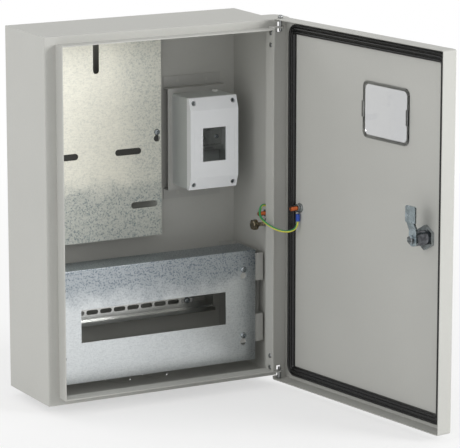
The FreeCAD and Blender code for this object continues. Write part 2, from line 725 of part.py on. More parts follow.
def top_hat_rail(label, left, right, middle, front):
    """Rail of hat section: web at the back, two steps forward and the two lips that modules clip on."""
    piece = new_body(label)
    web = front - rail_rise
    half = rail_width / 2
    half_web = rail_web / 2
    metal = rail_steel
    pad(piece, "YZ_Plane", left, right, Outline(
        (-web, middle - half_web), (-web, middle + half_web), (-(front - metal), middle + half_web),
        (-(front - metal), middle + half), (-front, middle + half), (-front, middle + half_web - metal),
        (-(web + metal), middle + half_web - metal), (-(web + metal), middle - half_web + metal),
        (-front, middle - half_web + metal), (-front, middle - half), (-(front - metal), middle - half),
        (-(front - metal), middle - half_web)))
    return piece


body = top_hat_rail("breaker_box_rail", left_x + box_wall + 0.4, right_x - box_wall - 0.4, box_up, box_rail_back + rail_rise)
pocket(body, "XZ_Plane", box_rail_back - 0.5, box_rail_back + rail_steel + 0.5, *[Disc(a, b, 1.8) for a, b in rail_posts])
pocket(body, "XZ_Plane", box_rail_back - 0.5, box_rail_back + rail_steel + 0.5, Slot(box_right, box_up, 18, 5))
pan_screws("breaker_box_rail_screws", rail_posts, box_rail_back + rail_steel, 6, small_head_radius, small_head_height, 1.5)
pan_screws("breaker_box_fixing_screws", fixing_places, box_seat + box_wall, 8, screw_head_radius, screw_head_height * 0.8, 1.7)

# Module rail on two stand-off brackets
rail_left = -rail_length / 2
rail_right = rail_length / 2
rail_screw_x = rail_right - 30
body = top_hat_rail("din_rail", rail_left, rail_right, rail_up, rail_front)
rail_back = rail_front - rail_rise
for k in range(11):
    pocket(body, "XZ_Plane", rail_back - 0.5, rail_back + rail_steel + 0.5,
           Slot(rail_left + 19 + k * rail_slot_pitch, rail_up, rail_slot_long, rail_slot_width))
body = bodies["din_rail"]
rail_places = []
for label, side, slot in (("din_rail_bracket_left", -1, 1), ("din_rail_bracket_right", 1, 9)):
    piece = new_body(label)
    centre = rail_left + 19 + slot * rail_slot_pitch
    rail_places.append((centre, rail_up))
    half = rail_web / 2 - 1.5
    back = case_steel
    foot = 14
    pad(piece, "YZ_Plane", centre - 11, centre + 11, Outline(
        (-back, rail_up + half + foot), (-back, rail_up + half - 1.5), (-(rail_back - 1.5), rail_up + half - 1.5),
        (-(rail_back - 1.5), rail_up - half + 1.5), (-back, rail_up - half + 1.5), (-back, rail_up - half - foot),
        (-(back + 1.5), rail_up - half - foot), (-(back + 1.5), rail_up - half), (-rail_back, rail_up - half),
        (-rail_back, rail_up + half), (-(back + 1.5), rail_up + half), (-(back + 1.5), rail_up + half + foot)))
    pocket(piece, "XZ_Plane", rail_back - 2.5, rail_back + 0.5, Disc(centre, rail_up, screw_radius + rotating_fit))
pan_screws("din_rail_screws", rail_places, rail_back + rail_steel, 7, screw_head_radius, screw_head_height, screw_radius)

# False panel: flat front with the module cut-out and a deep return folded back along its top
body = new_body("cover_plate")
panel_back = cover_front - cover_steel
panel_top = cover_up + cover_height / 2
pad(body, "XZ_Plane", panel_back, cover_front, middled(0, cover_up, cover_width, cover_height))
pad(body, "XZ_Plane", cover_front - cover_return, cover_front,
    rectangle(-cover_width / 2, panel_top - cover_steel, cover_width / 2, panel_top))
fillet(body, cover_steel * 0.9, lambda e: near(e.BoundBox.Center, y=-cover_front, z=panel_top))
pocket(body, "XZ_Plane", panel_back - 1, cover_front + 1, middled(0, cover_up, cutout_width, cutout_height))
cover_places = [(a * cover_screw_across / 2, cover_screw_middle + b * cover_screw_up / 2) for a in (-1, 1) for b in (-1, 1)]
for a, b in cover_places:
    for shape in keyhole(a, b, screw_radius + loose_fit):
        pocket(body, "XZ_Plane", panel_back - 1, cover_front + 1, shape)
pan_screws("cover_plate_screws", cover_places, cover_front, 8, screw_head_radius, screw_head_height, screw_radius)

# Folded side brackets of the false panel: foot on the back wall, side leg and two tabs in front
tab_edge = inside_x - tab_side_gap
for label, side in (("cover_bracket_left", -1), ("cover_bracket_right", 1)):
    body = new_body(label)
    steel = 1.2
    tall = tab_spacing + tab_height
    edges = sorted([side * tab_edge, side * (tab_edge - steel)], key=number)
    pad(body, "XZ_Plane", case_steel, panel_back, rectangle(edges[0], tab_middle - tall / 2, edges[1], tab_middle + tall / 2))
    edges = sorted([side * tab_edge, side * (tab_edge - 20)], key=number)
    pad(body, "XZ_Plane", case_steel, case_steel + steel, rectangle(edges[0], tab_middle - tall / 2, edges[1], tab_middle + tall / 2))
    edges = sorted([side * tab_edge, side * (tab_edge - tab_width)], key=number)
    for up in (-1, 1):
        middle = tab_middle + up * tab_spacing / 2
        pad(body, "XZ_Plane", panel_back - steel, panel_back,
            rectangle(edges[0], middle - tab_height / 2, edges[1], middle + tab_height / 2))
    fillet(body, steel * 0.8, lambda e: near(e.BoundBox.Center, x=side * tab_edge, y=-panel_back))
    edges = sorted([side * (tab_edge - steel - 1), side * (tab_edge + 1)], key=number)
    pocket(body, "XZ_Plane", panel_back - 14, panel_back + 1,
           rectangle(edges[0], tab_middle - tab_spacing / 2 + tab_height / 2,
                     edges[1], tab_middle + tab_spacing / 2 - tab_height / 2))
    holes = [(a, b) for a, b in cover_places if number(a) * side > 0]
    pocket(body, "XZ_Plane", panel_back - steel - 1, panel_back + 1, *[Disc(a, b, screw_radius + rotating_fit) for a, b in holes])

# Earthing on the right wall: a weld stud with its nut, and the bolt that takes the door's wire
stud_front = case_depth - stud_behind
bolt_front = case_depth - bolt_behind


def on_right_wall(piece, front, up):
    """Stands a turned piece on the right wall, pointing into the casing."""
    place(piece, inside_x, -front, up, (0, 1, 0), -90)


def threaded(piece, start, end, radius, pitch):
    """A stud with ring grooves at the thread's pitch, by its corners of radius and height."""
    corners = [(0, start), (radius, start)]
    steps = int(number(end - start) / pitch) - 1
    for k in range(steps):
        level = start + 0.5 + k * pitch
        corners += [(radius, level), (radius - 0.35, level + pitch * 0.35), (radius, level + pitch * 0.7)]
    corners += [(radius, end - 0.6), (radius - 0.6, end), (0, end)]
    return turned(piece, *corners)


body = new_body("casing_earth_stud")
threaded(body, 0, stud_length, stud_radius, 1)
on_right_wall(body, stud_front, stud_up)


def ring_part(label, hole, outer, start, end):
    """A flat ring, such as a washer."""
    piece = new_body(label)
    pad(piece, "XY_Plane", start, end, Disc(0, 0, outer), Disc(0, 0, hole))
    return piece


def nut_part(label, hole, across, start, end):
    """A hexagon nut with chamfered corners."""
    piece = new_body(label)
    pad(piece, "XY_Plane", start, end, Hexagon(0, 0, across), Disc(0, 0, hole))
    return piece


body = ring_part("casing_earth_washer", stud_radius + rotating_fit, washer_radius, 0, washer_thickness)
on_right_wall(body, stud_front, stud_up)
body = nut_part("casing_earth_nut", stud_radius + rotating_fit, nut_across, washer_thickness, washer_thickness + nut_height)
on_right_wall(body, stud_front, stud_up)

body = new_body("earthing_bolt")
threaded(body, 0, bolt_reach - bolt_head_height + 0.5, stud_radius, 1)
pad(body, "XY_Plane", bolt_reach - bolt_head_height, bolt_reach, Hexagon(0, 0, bolt_across))
fillet(body, 0.8, lambda e: edge_at(e, 2, bolt_reach))
pad(body, "XY_Plane", bolt_reach - bolt_head_height - 1.2, bolt_reach - bolt_head_height + 0.1, Disc(0, 0, bolt_across / 2 + 0.8))
on_right_wall(body, bolt_front, bolt_up)


def terminal(metal_label, sleeve_label, hole):
    """Ring terminal with its flat barrel along +Y and the coloured sleeve on it."""
    metal = new_body(metal_label)
    pad(metal, "XY_Plane", 0, ring_thickness, Disc(0, 0, ring_radius), Disc(0, 0, hole))
    pad(metal, "XY_Plane", 0, ring_thickness,
        rectangle(-2.4, ring_radius - 0.6, 2.4, sleeve_start + 2))
    sleeve = new_body(sleeve_label)
    pad(sleeve, "XZ_Plane", -(sleeve_start + sleeve_length), -(sleeve_start + 2), Disc(0, sleeve_radius, sleeve_radius),
        Disc(0, sleeve_radius, wire_radius + rotating_fit))
    fillet(sleeve, 0.6, lambda e: e.BoundBox.YLength < 0.01 and e.BoundBox.XLength > number(sleeve_radius) * 1.9)
    return metal, sleeve


metal, sleeve = terminal("casing_ring_terminal", "casing_terminal_sleeve", stud_radius + rotating_fit)
for piece in (metal, sleeve):
    piece.Placement = FreeCAD.Placement(
        FreeCAD.Vector(number(inside_x), -number(bolt_front), number(bolt_up)),
        FreeCAD.Rotation(FreeCAD.Vector(1, 0, 0), 90 + number(terminal_lean))
        .multiply(FreeCAD.Rotation(FreeCAD.Vector(0, 1, 0), -90)))
body = ring_part("earthing_bolt_washer", stud_radius + rotating_fit, big_washer_radius, ring_thickness, ring_thickness + 1.4)
on_right_wall(body, bolt_front, bolt_up)

# Door: folded tray with window and lock openings, pin holes and hinge notches
body = new_body("door_shell")
pad(body, "XZ_Plane", rim_out, skin_out, rectangle(free_edge, -door_top, hinge_edge, door_top))
fillet(body, door_corner, lambda e: abs(abs(e.BoundBox.Center.z) - number(door_top)) < 0.01 and e.BoundBox.YLength > 5)
pocket(body, "XZ_Plane", rim_out - 0.5, inner_out,
       rectangle(free_edge + door_steel, door_steel - door_top, hinge_edge - door_steel, door_top - door_steel))
fillet(body, bend_radius, lambda e: edge_at(e, 1, -skin_out))
window_x = hinge_edge - window_from_hinge
hole_w = window_width / 2 - window_overlap
hole_h = window_height / 2 - window_overlap
pocket(body, "XZ_Plane", inner_out - 0.5, skin_out + 0.5,
       Rounded(window_x - hole_w, window_up - hole_h, window_x + hole_w, window_up + hole_h, window_corner - 2))
lock_x = free_edge + lock_from_edge
pocket(body, "XZ_Plane", inner_out - 0.5, skin_out + 0.5, Disc(lock_x, 0, barrel_radius + rotating_fit))
pocket(body, "XY_Plane", door_top - door_steel - 0.5, door_top + 0.5, Disc(0, 0, pin_radius + rotating_fit))
pocket(body, "XY_Plane", -door_top - 0.5, door_steel - door_top + 0.5, Disc(0, 0, pin_end_radius + rotating_fit))
tongue_middle = half_height - bracket_inset - bracket_steel / 2
for up in (-1, 1):
    pocket(body, "XZ_Plane", rim_out - 0.5, tongue_radius + 0.3,
           rectangle(hinge_edge - door_steel - 0.5, up * tongue_middle - notch_height / 2,
                     hinge_edge + 0.5, up * tongue_middle + notch_height / 2))
hang(body)

# Gasket: rubber ring on the door's inner face, with the groove that meets the lip
body = new_body("door_gasket")
lip_mid = lip_x - case_steel / 2
contact_right = lip_mid - hinge_x
contact_left = -lip_mid - hinge_x
contact_up = lip_z - case_steel / 2
half_rubber = gasket_width / 2
gasket_face = inner_out - gasket_height


def ring_at(spread, radius):
    """Rounded rectangle at a distance outside the line where the lip meets the rubber."""
    return Rounded(contact_left - spread, -contact_up - spread, contact_right + spread, contact_up + spread, radius)


pad(body, "XZ_Plane", gasket_face, inner_out,
    ring_at(half_rubber, gasket_outer_radius), ring_at(-half_rubber, gasket_inner_radius))
middle_radius = gasket_inner_radius + half_rubber
for shift in (-gasket_groove_shift, gasket_groove_shift + 0):
    wide = shift + gasket_groove_width / 2
    slim = shift - gasket_groove_width / 2
    pocket(body, "XZ_Plane", gasket_face - 0.5, gasket_face + gasket_groove_depth,
           ring_at(wide, middle_radius + wide), ring_at(slim, middle_radius + slim))
hang(body)

# Window pane: clear moulding behind the skin, a plug in the opening and two side clips
body = new_body("window_pane")
pane_w = window_width / 2
pane_h = window_height / 2
pad(body, "XZ_Plane", inner_out - pane_thickness, inner_out,
    Rounded(window_x - pane_w, window_up - pane_h, window_x + pane_w, window_up + pane_h, window_corner))
pad(body, "XZ_Plane", inner_out - 0.1, skin_out + 0.6,
    Rounded(window_x - hole_w + loose_fit, window_up - hole_h + loose_fit,
            window_x + hole_w - loose_fit, window_up + hole_h - loose_fit, window_corner - 2 - loose_fit))
for side in (-1, 1):
    pad(body, "XZ_Plane", inner_out - pane_thickness - 2, inner_out - pane_thickness + 0.1,
        middled(window_x + side * (pane_w - clip_width / 2), window_up, clip_width, clip_height))
hang(body)

# Lock housing: round face outside, threaded barrel through the skin
body = new_body("lock_housing")
barrel_end = skin_out - barrel_reach
pad(body, "XZ_Plane", skin_out, skin_out + lock_face_height, Disc(lock_x, 0, lock_face_radius))
fillet(body, lock_face_height * 0.5, lambda e: edge_at(e, 1, -(skin_out + lock_face_height)))
pad(body, "XZ_Plane", barrel_end, skin_out + 0.1, Disc(lock_x, 0, barrel_radius))
fillet(body, 0.8, lambda e: edge_at(e, 1, -barrel_end))
pocket(body, "XZ_Plane", barrel_end - 0.5, skin_out + lock_face_height + 0.5, Disc(lock_x, 0, core_radius + rotating_fit))
hang(body)

body = new_body("lock_nut")
pad(body, "XZ_Plane", inner_out - lock_nut_height, inner_out,
    Hexagon(lock_x, 0, lock_nut_across), Disc(lock_x, 0, barrel_radius + rotating_fit))
hang(body)

# Lock core: turns in the barrel, with the key recess in front and a square for the cam behind
body = new_body("lock_core")
core_end = barrel_end - standing_gap
cam_back = core_end - cam_thickness
pad(body, "XZ_Plane", core_end, skin_out + lock_face_height - 0.6, Disc(lock_x, 0, core_radius))
pad(body, "XZ_Plane", cam_back, core_end + 0.1, middled(lock_x, Size("0", 0), core_square, core_square))
pocket(body, "XZ_Plane", skin_out - 4, skin_out + lock_face_height + 0.5, Disc(lock_x, 0, core_radius - 1.6))
pad(body, "XZ_Plane", skin_out - 4.1, skin_out + lock_face_height - 1, Disc(lock_x, 0, 1.6))
pad(body, "XZ_Plane", skin_out - 4.1, skin_out + lock_face_height - 1, middled(lock_x, Size("0", 0), 8, 1.6))
pocket(body, "XZ_Plane", cam_back - 0.5, cam_back + 9, Disc(lock_x, 0, 2 + rotating_fit))
hang(body)

# Lock cam: bent zinc-plated plate, wide at its tip
body = new_body("lock_cam")
near_y = -core_end
far_y = -cam_back
bend_low = size("cam_bend_low", 13)
bend_high = cam_length - cam_plate_length
pad(body, "YZ_Plane", lock_x - cam_plate_width / 2, lock_x + cam_plate_width / 2, Outline(
    (near_y, -9), (far_y, -9), (far_y, bend_low - 0.8), (far_y + cam_crank, bend_high - 0.8),
    (far_y + cam_crank, cam_length), (near_y + cam_crank, cam_length), (near_y + cam_crank, bend_high), (near_y, bend_low)))
for side in (-1, 1):
    edges = sorted([lock_x + side * cam_neck_width / 2, lock_x + side * (cam_plate_width / 2 + 1)], key=number)
    pocket(body, "XZ_Plane", cam_back - cam_crank - 1, core_end + 1, rectangle(edges[0], -10, edges[1], bend_high - 1))
fillet(body, size("cam_corner", 3), lambda e: edge_at(e, 2, cam_length) and e.BoundBox.YLength > 1)
fillet(body, size("cam_heel", 6), lambda e: edge_at(e, 2, -9) and e.BoundBox.YLength > 1)
pocket(body, "XZ_Plane", cam_back - 1, core_end + 1,
       middled(lock_x, Size("0", 0), core_square + rotating_fit * 2, core_square + rotating_fit * 2))
hang(body)

body = new_body("cam_washer")
pad(body, "XZ_Plane", cam_back - 1, cam_back, Disc(lock_x, 0, 5.8), Disc(lock_x, 0, 2 + rotating_fit))
hang(body)

body = new_body("cam_bolt")
pad(body, "XZ_Plane", cam_back - 1 - cam_bolt_height, cam_back - 1, Hexagon(lock_x, 0, cam_bolt_across))
fillet(body, 0.7, lambda e: edge_at(e, 1, -(cam_back - 1 - cam_bolt_height)))
pad(body, "XZ_Plane", cam_back - 1.1, cam_back + 8, Disc(lock_x, 0, 2))
hang(body)

# Door's earth stud with washer, ring terminal and nut
door_stud_x = hinge_edge - door_stud_from_edge


def on_door(piece):
    """Stands a piece made about its own Z axis on the inner face of the open door."""
    turn = FreeCAD.Rotation(FreeCAD.Vector(0, 0, 1), number(door_angle))
    stand = FreeCAD.Rotation(FreeCAD.Vector(1, 0, 0), -90)
    offset = turn.multVec(FreeCAD.Vector(number(door_stud_x), -number(inner_out), 0))
    base = FreeCAD.Vector(number(hinge_x), -number(hinge_front), number(door_stud_up))
    piece.Placement = FreeCAD.Placement(base + offset, turn.multiply(stand))


body = new_body("door_earth_stud")
threaded(body, 0, stud_length, stud_radius, 1)
on_door(body)
body = ring_part("door_earth_washer", stud_radius + rotating_fit, washer_radius, 0, washer_thickness)
on_door(body)
metal, sleeve = terminal("door_ring_terminal", "door_terminal_sleeve", stud_radius + rotating_fit)
for piece in (metal, sleeve):
    on_door(piece)
    along = piece.Placement.Rotation.multVec(FreeCAD.Vector(0, 0, number(washer_thickness)))
    piece.Placement = FreeCAD.Placement(piece.Placement.Base + along, piece.Placement.Rotation)
body = nut_part("door_earth_nut", stud_radius + rotating_fit, nut_across, washer_thickness + ring_thickness,
                washer_thickness + ring_thickness + nut_height)
on_door(body)

# Door bonding wire: from the bolt's terminal over the lip to the door's terminal
doc.recompute()


def sleeve_mouth(piece):
    """Place and direction of the wire where it leaves a terminal's sleeve."""
    placement = piece.Placement
    mouth = FreeCAD.Vector(0, number(sleeve_start + sleeve_length), number(sleeve_radius))
    return placement.multVec(mouth), placement.Rotation.multVec(FreeCAD.Vector(0, 1, 0))


start, start_way = sleeve_mouth(bodies["casing_terminal_sleeve"])
end, end_way = sleeve_mouth(bodies["door_terminal_sleeve"])
tuck = 4


def by_hinge(across, forward, up):
    """A point of the wire's run, from the hinge axis at the height of the door's stud."""
    return FreeCAD.Vector(number(hinge_x) + across, -number(hinge_front) + forward, number(door_stud_up) + up)


wire_points = [
    start - start_way * tuck,
    start + start_way * 10,
    by_hinge(-19.5, 19, 1),
    by_hinge(-23.5, 14, -18),
    by_hinge(-22.5, -4, -28),
    by_hinge(-13.5, -21, -36),
    by_hinge(-0.5, -28.5, -38.5),
    end + end_way * 11.4,
    end - end_way * tuck,
]


def route(points):
    """Straight runs joined by tangent arcs through hand-placed points."""
    edges = []
    radii = []
    at = points[0]
    length = 0.0
    for i in range(1, len(points) - 1):
        before = points[i - 1] - points[i]
        after = points[i + 1] - points[i]
        half_turn = (3.14159265 - before.getAngle(after)) / 2
        cut = 0.45 * min(before.Length, after.Length)
        tangent = half_turn_tangent(half_turn)
        radius = cut / tangent
        radii.append(radius)
        before.normalize()
        after.normalize()
        enter = points[i] + before * cut
        leave = points[i] + after * cut
        inward = before + after
        inward.normalize()
        reach = (radius * radius + cut * cut) ** 0.5 - radius
        edges.append(Part.LineSegment(at, enter).toShape())
        edges.append(Part.Arc(enter, points[i] + inward * reach, leave).toShape())
        at = leave
    edges.append(Part.LineSegment(at, points[-1]).toShape())
    return Part.Wire(edges), radii


def half_turn_tangent(angle):
    """Tangent of an angle, from a right triangle made with a turned vector."""
    side = FreeCAD.Rotation(FreeCAD.Vector(0, 0, 1), angle * 57.29577951).multVec(FreeCAD.Vector(1, 0, 0))
    return side.y / side.x


path, radii = route(wire_points)
section = Part.Wire([Part.Circle(wire_points[0], start_way, number(wire_radius)).toShape()])
tube = path.makePipeShell([section], True, False)
wire = doc.addObject("Part::Feature", "earth_wire")
wire.Label = "earth_wire"
wire.Shape = tube
wire.Placement = FreeCAD.Placement(FreeCAD.Vector(0, 0, 0), FreeCAD.Rotation())
bodies["earth_wire"] = wire
print("wire radii", [round(r, 1) for r in radii])
expected = 3.14159265 * number(wire_radius) ** 2 * path.Length
print("wire length %.1f volume ratio %.4f" % (path.Length, tube.Volume / expected))
print("wire points", [[round(c, 2) for c in point] for point in wire_points])

doc.recompute()
faults = []
for thing in doc.Objects:
    if "Invalid" in thing.State or "Error" in thing.State:
        faults.append("%s %s" % (thing.Name, thing.State))
for label, piece in bodies.items():
    if piece.Shape.isNull() or not piece.Shape.isValid():
        faults.append("%s has no valid shape" % label)
for feature in pockets:
    base = feature.BaseFeature
    if base is not None and feature.Shape.Volume > base.Shape.Volume - 1e-3:
        faults.append("%s cut nothing" % feature.Name)
if faults:
    raise RuntimeError("; ".join(faults))

os.makedirs("parts", exist_ok=True)
for label, piece in bodies.items():
    piece.Shape.exportStep("parts/%s.step" % label)
    print("%-28s solids %d  volume %.0f" % (label, len(piece.Shape.Solids), piece.Shape.Volume))
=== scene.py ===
"""Electric meter box: finishes, fine pieces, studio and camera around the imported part.

Everything is in metres in the part's own frame: the origin is the centre of the four wall
holes on the back plane, +X to the right, +Z up and the door towards -Y.
"""

import logging
import math
from dataclasses import dataclass, field
from enum import Enum
from typing import Any, Callable, Sequence

import bmesh
import bpy
from mathutils import Matrix, Vector


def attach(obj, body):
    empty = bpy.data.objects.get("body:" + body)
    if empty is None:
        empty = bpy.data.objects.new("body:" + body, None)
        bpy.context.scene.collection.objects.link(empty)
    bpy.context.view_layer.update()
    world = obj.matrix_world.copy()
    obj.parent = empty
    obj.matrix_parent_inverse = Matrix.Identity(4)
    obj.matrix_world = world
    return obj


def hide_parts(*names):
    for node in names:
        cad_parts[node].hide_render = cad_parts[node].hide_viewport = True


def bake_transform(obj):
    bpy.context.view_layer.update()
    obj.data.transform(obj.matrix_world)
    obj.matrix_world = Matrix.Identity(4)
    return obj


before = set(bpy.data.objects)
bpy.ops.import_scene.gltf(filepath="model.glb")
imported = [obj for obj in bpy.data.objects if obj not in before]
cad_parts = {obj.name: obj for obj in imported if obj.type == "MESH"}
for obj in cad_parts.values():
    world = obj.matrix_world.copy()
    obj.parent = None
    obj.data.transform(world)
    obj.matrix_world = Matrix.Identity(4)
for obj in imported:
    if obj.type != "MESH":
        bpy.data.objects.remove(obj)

LOG = logging.getLogger("meter_box")
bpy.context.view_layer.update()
MM = 0.001
# At rest the door stands this far open about the hinge's upright axis.
DOOR_ANGLE = math.radians(98.0)
HINGE = Vector((0.1725, -0.136, 0.0))
# A noise node says 0 to 1, but nearly all of it lies between these two.
NOISE_LOW, NOISE_HIGH = 0.3, 0.7
# Sockets of a colour mix node, which have the same names as its number and vector sockets.
MIX_A, MIX_B, MIX_RESULT = 6, 7, 2
# The wire's mesh says with this attribute how far round each point lies towards the stripe.
STRIPE = "stripe_side"
WHITE = "#FFFFFF"


# ---------------------------------------------------------------- small tools


def linear(hex_colour: str) -> tuple[float, float, float, float]:
    """Turn an sRGB hex colour into the linear colour that a shader socket takes.

    Args:
        hex_colour: Six hex digits with a leading hash.

    Returns:
        Red, green, blue and an alpha of one.
    """
    channels = [int(hex_colour[i:i + 2], 16) / 255 for i in (1, 3, 5)]
    turned = [c / 12.92 if c <= 0.04045 else ((c + 0.055) / 1.055) ** 2.4 for c in channels]
    return turned[0], turned[1], turned[2], 1.0


def per_metre(millimetres: float) -> float:
    """Texture scale at which one cell of a pattern is that many millimetres wide."""
    return 1.0 / (millimetres * MM)


def add_node(tree: bpy.types.NodeTree, kind: str, settings: dict[str, Any] | None = None,
             inputs: dict[str | int, Any] | None = None) -> bpy.types.Node:
    """Add a shader node with its settings, and set or link its inputs.

    Args:
        tree: The node tree that gets the node.
        kind: The node's type name.
        settings: Properties of the node itself.
        inputs: For each input, a plain value or the output socket that feeds it.

    Returns:
        The new node.
    """
    node = tree.nodes.new(kind)
    for name, value in (settings or {}).items():
        setattr(node, name, value)
    for name, value in (inputs or {}).items():
        if isinstance(value, bpy.types.NodeSocket):
            tree.links.new(value, node.inputs[name])
        else:
            node.inputs[name].default_value = value
    return node


def deselect() -> None:
    """Leave object mode with nothing selected."""
    if bpy.context.object is not None and bpy.context.object.mode != "OBJECT":
        bpy.ops.object.mode_set(mode="OBJECT")
    bpy.ops.object.select_all(action="DESELECT")


def pick(piece: bpy.types.Object) -> None:
    """Make one object the only selected and the active one."""
    deselect()
    piece.select_set(True)
    bpy.context.view_layer.objects.active = piece


def select_where(piece: bpy.types.Object, mode: str, test: Callable[[Any], bool]) -> None:
    """Select, in edit mode, the elements of one kind that pass a test.

    Args:
        piece: The object in edit mode.
        mode: VERT, EDGE or FACE.
        test: Takes a bmesh element and says whether it is selected.
    """
    bpy.ops.mesh.select_mode(type=mode)
    bpy.ops.mesh.select_all(action="DESELECT")
    mesh = bmesh.from_edit_mesh(piece.data)
    elements = {"VERT": mesh.verts, "EDGE": mesh.edges, "FACE": mesh.faces}[mode]
    for element in elements:
        element.select_set(bool(test(element)))
    mesh.select_flush_mode()
    bmesh.update_edit_mesh(piece.data)


def settle(piece: bpy.types.Object, place: Matrix) -> bpy.types.Object:
    """Put a finished mesh at its place and leave its object at the origin.

    Args:
        piece: The object, modelled about its own origin.
        place: Where its own axes stand in the part's frame.

    Returns:
        The same object.
    """
    pick(piece)
    piece.matrix_world = place @ piece.matrix_world
    bpy.ops.object.transform_apply(location=True, rotation=True, scale=True)
    return piece


def door_place(along: float, outward: float, up: float) -> Matrix:
    """Axes on the open door: X along the door to its free edge, Y into the casing side, Z up.

    Args:
        along: Distance from the hinge axis towards the free edge, in millimetres.
        outward: Distance from the hinge axis towards the door's outside, in millimetres.
        up: Height in millimetres.

    Returns:
        The place as a matrix in metres.
    """
    turn = Matrix.Rotation(DOOR_ANGLE, 4, "Z")
    return Matrix.Translation(HINGE) @ turn @ Matrix.Translation(Vector((-along, -outward, up)) * MM)


def finish_piece(piece: bpy.types.Object, name: str, body: str, material: bpy.types.Material,
                 smooth_degrees: float = 35.0) -> bpy.types.Object:
    """Name, dress and hang a new piece on its body.

    Args:
        piece: The finished mesh.
        name: The piece's plain name.
        body: The body it moves with, or nothing for a piece left on no body.
        material: Its finish.
        smooth_degrees: Edges flatter than this are shaded smooth.

    Returns:
        The same object.
    """
    piece.name = name
    piece.data.name = name
    pick(piece)
    if piece.type == "MESH":
        bpy.ops.object.shade_smooth_by_angle(angle=math.radians(smooth_degrees))
    piece.data.materials.clear()
    piece.data.materials.append(material)
    if body:
        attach(piece, body)
    LOG.info("made %s on %s", name, body or "two bodies")
    return piece


def dress(material: bpy.types.Material, *nodes: str) -> None:
    """Give carried-over CAD nodes a finish in all their material slots."""
    for name in nodes:
        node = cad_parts[name]
        for holder in node.material_slots:
            holder.material = material
        if not node.material_slots:
            node.data.materials.append(material)
        LOG.info("dressed %s with %s", name, material.name)


def lathe(stations: Sequence[tuple[float, float]], sides: int) -> bpy.types.Object:
    """Turn a piece about Z from stations of radius and height, as an extruded circle.

    Args:
        stations: Radius and height in millimetres, in order along the outline.
        sides: Number of sides of the circle.

    Returns:
        The turned object, with its two end loops filled where they are open.
    """
    deselect()
    radius, height = stations[0]
    bpy.ops.mesh.primitive_circle_add(vertices=sides, radius=radius * MM, fill_type="NOTHING",
                                      location=(0, 0, height * MM))
    piece = bpy.context.object
    bpy.ops.object.mode_set(mode="EDIT")
    bpy.ops.mesh.select_all(action="SELECT")
    for following, level in stations[1:]:
        step = (level - height) * MM
        bpy.ops.mesh.extrude_region_move(TRANSFORM_OT_translate={"value": (0, 0, step)})
        ratio = following / radius
        bpy.ops.transform.resize(value=(ratio, ratio, 1), center_override=(0, 0, level * MM))
        radius, height = following, level
    bpy.ops.mesh.select_all(action="SELECT")
    bpy.ops.mesh.remove_doubles(threshold=1e-6)
    bpy.ops.mesh.select_all(action="DESELECT")
    bpy.ops.mesh.select_mode(type="EDGE")
    bpy.ops.mesh.select_non_manifold(extend=False, use_boundary=True)
    if any(edge.select for edge in bmesh.from_edit_mesh(piece.data).edges):
        bpy.ops.mesh.fill_holes(sides=0)
    bpy.ops.mesh.select_all(action="SELECT")
    bpy.ops.mesh.normals_make_consistent(inside=False)
    bpy.ops.object.mode_set(mode="OBJECT")
    return piece


# ---------------------------------------------------------------- finishes


def new_material(name: str) -> tuple[bpy.types.Material, bpy.types.NodeTree, bpy.types.Node, bpy.types.NodeSocket]:
    """Start a material on object coordinates.

    Args:
        name: The material's name.

    Returns:
        The material, its node tree, its shader and the socket with the object coordinates.
    """
    material = bpy.data.materials.new(name)
    material.use_nodes = True
    tree = material.node_tree
    return material, tree, tree.nodes["Principled BSDF"], add_node(tree, "ShaderNodeTexCoord").outputs["Object"]


def noise(tree: bpy.types.NodeTree, place: bpy.types.NodeSocket, cell_mm: float, detail: float,
          roughness: float = 0.5) -> bpy.types.NodeSocket:
    """Add a noise whose cells are that many millimetres wide.

    Args:
        tree: The material's node tree.
        place: Coordinates that the noise is laid on.
        cell_mm: Width of one cell in millimetres.
        detail: Octaves of finer noise on top.
        roughness: How strong the finer octaves are.

    Returns:
        The noise's value, from 0 to 1 and mostly between NOISE_LOW and NOISE_HIGH.
    """
    node = add_node(tree, "ShaderNodeTexNoise", None,
                    {"Vector": place, "Scale": per_metre(cell_mm), "Detail": detail, "Roughness": roughness})
    return node.outputs["Fac"]


def spread(tree: bpy.types.NodeTree, value: bpy.types.NodeSocket, low: float, high: float,
           whole: bool = False) -> bpy.types.NodeSocket:
    """Stretch a noise over a range.

    Args:
        tree: The material's node tree.
        value: The noise's value.
        low: Result at the noise's low end.
        high: Result at its high end.
        whole: Take the ends to be 0 and 1 instead of those that a noise really reaches.

    Returns:
        The stretched value.
    """
    ends = {} if whole else {"From Min": NOISE_LOW, "From Max": NOISE_HIGH}
    node = add_node(tree, "ShaderNodeMapRange", None, {"Value": value, **ends, "To Min": low, "To Max": high})
    return node.outputs["Result"]


def shade(tree: bpy.types.NodeTree, colour: Any, share: bpy.types.NodeSocket) -> bpy.types.NodeSocket:
    """Make a colour lighter or darker by a share, and give the socket with the result."""
    node = add_node(tree, "ShaderNodeVectorMath", {"operation": "SCALE"}, {0: colour, "Scale": share})
    return node.outputs["Vector"]


def relief(tree: bpy.types.NodeTree, height: bpy.types.NodeSocket, strength: float,
           depth_mm: float) -> bpy.types.NodeSocket:
    """Turn a pattern into a fine relief of the skin.

    Args:
        tree: The material's node tree.
        height: The pattern.
        strength: How much of the relief shows, from 0 to 1.
        depth_mm: The relief's real depth in millimetres.

    Returns:
        The bent normal.
    """
    node = add_node(tree, "ShaderNodeBump", None,
                    {"Height": height, "Strength": strength, "Distance": depth_mm * MM})
    return node.outputs["Normal"]


def feed(tree: bpy.types.NodeTree, shader: bpy.types.Node, inputs: dict[str, Any]) -> None:
    """Link or set the shader's inputs."""
    for name, value in inputs.items():
        if isinstance(value, bpy.types.NodeSocket):
            tree.links.new(value, shader.inputs[name])
        else:
            shader.inputs[name].default_value = value


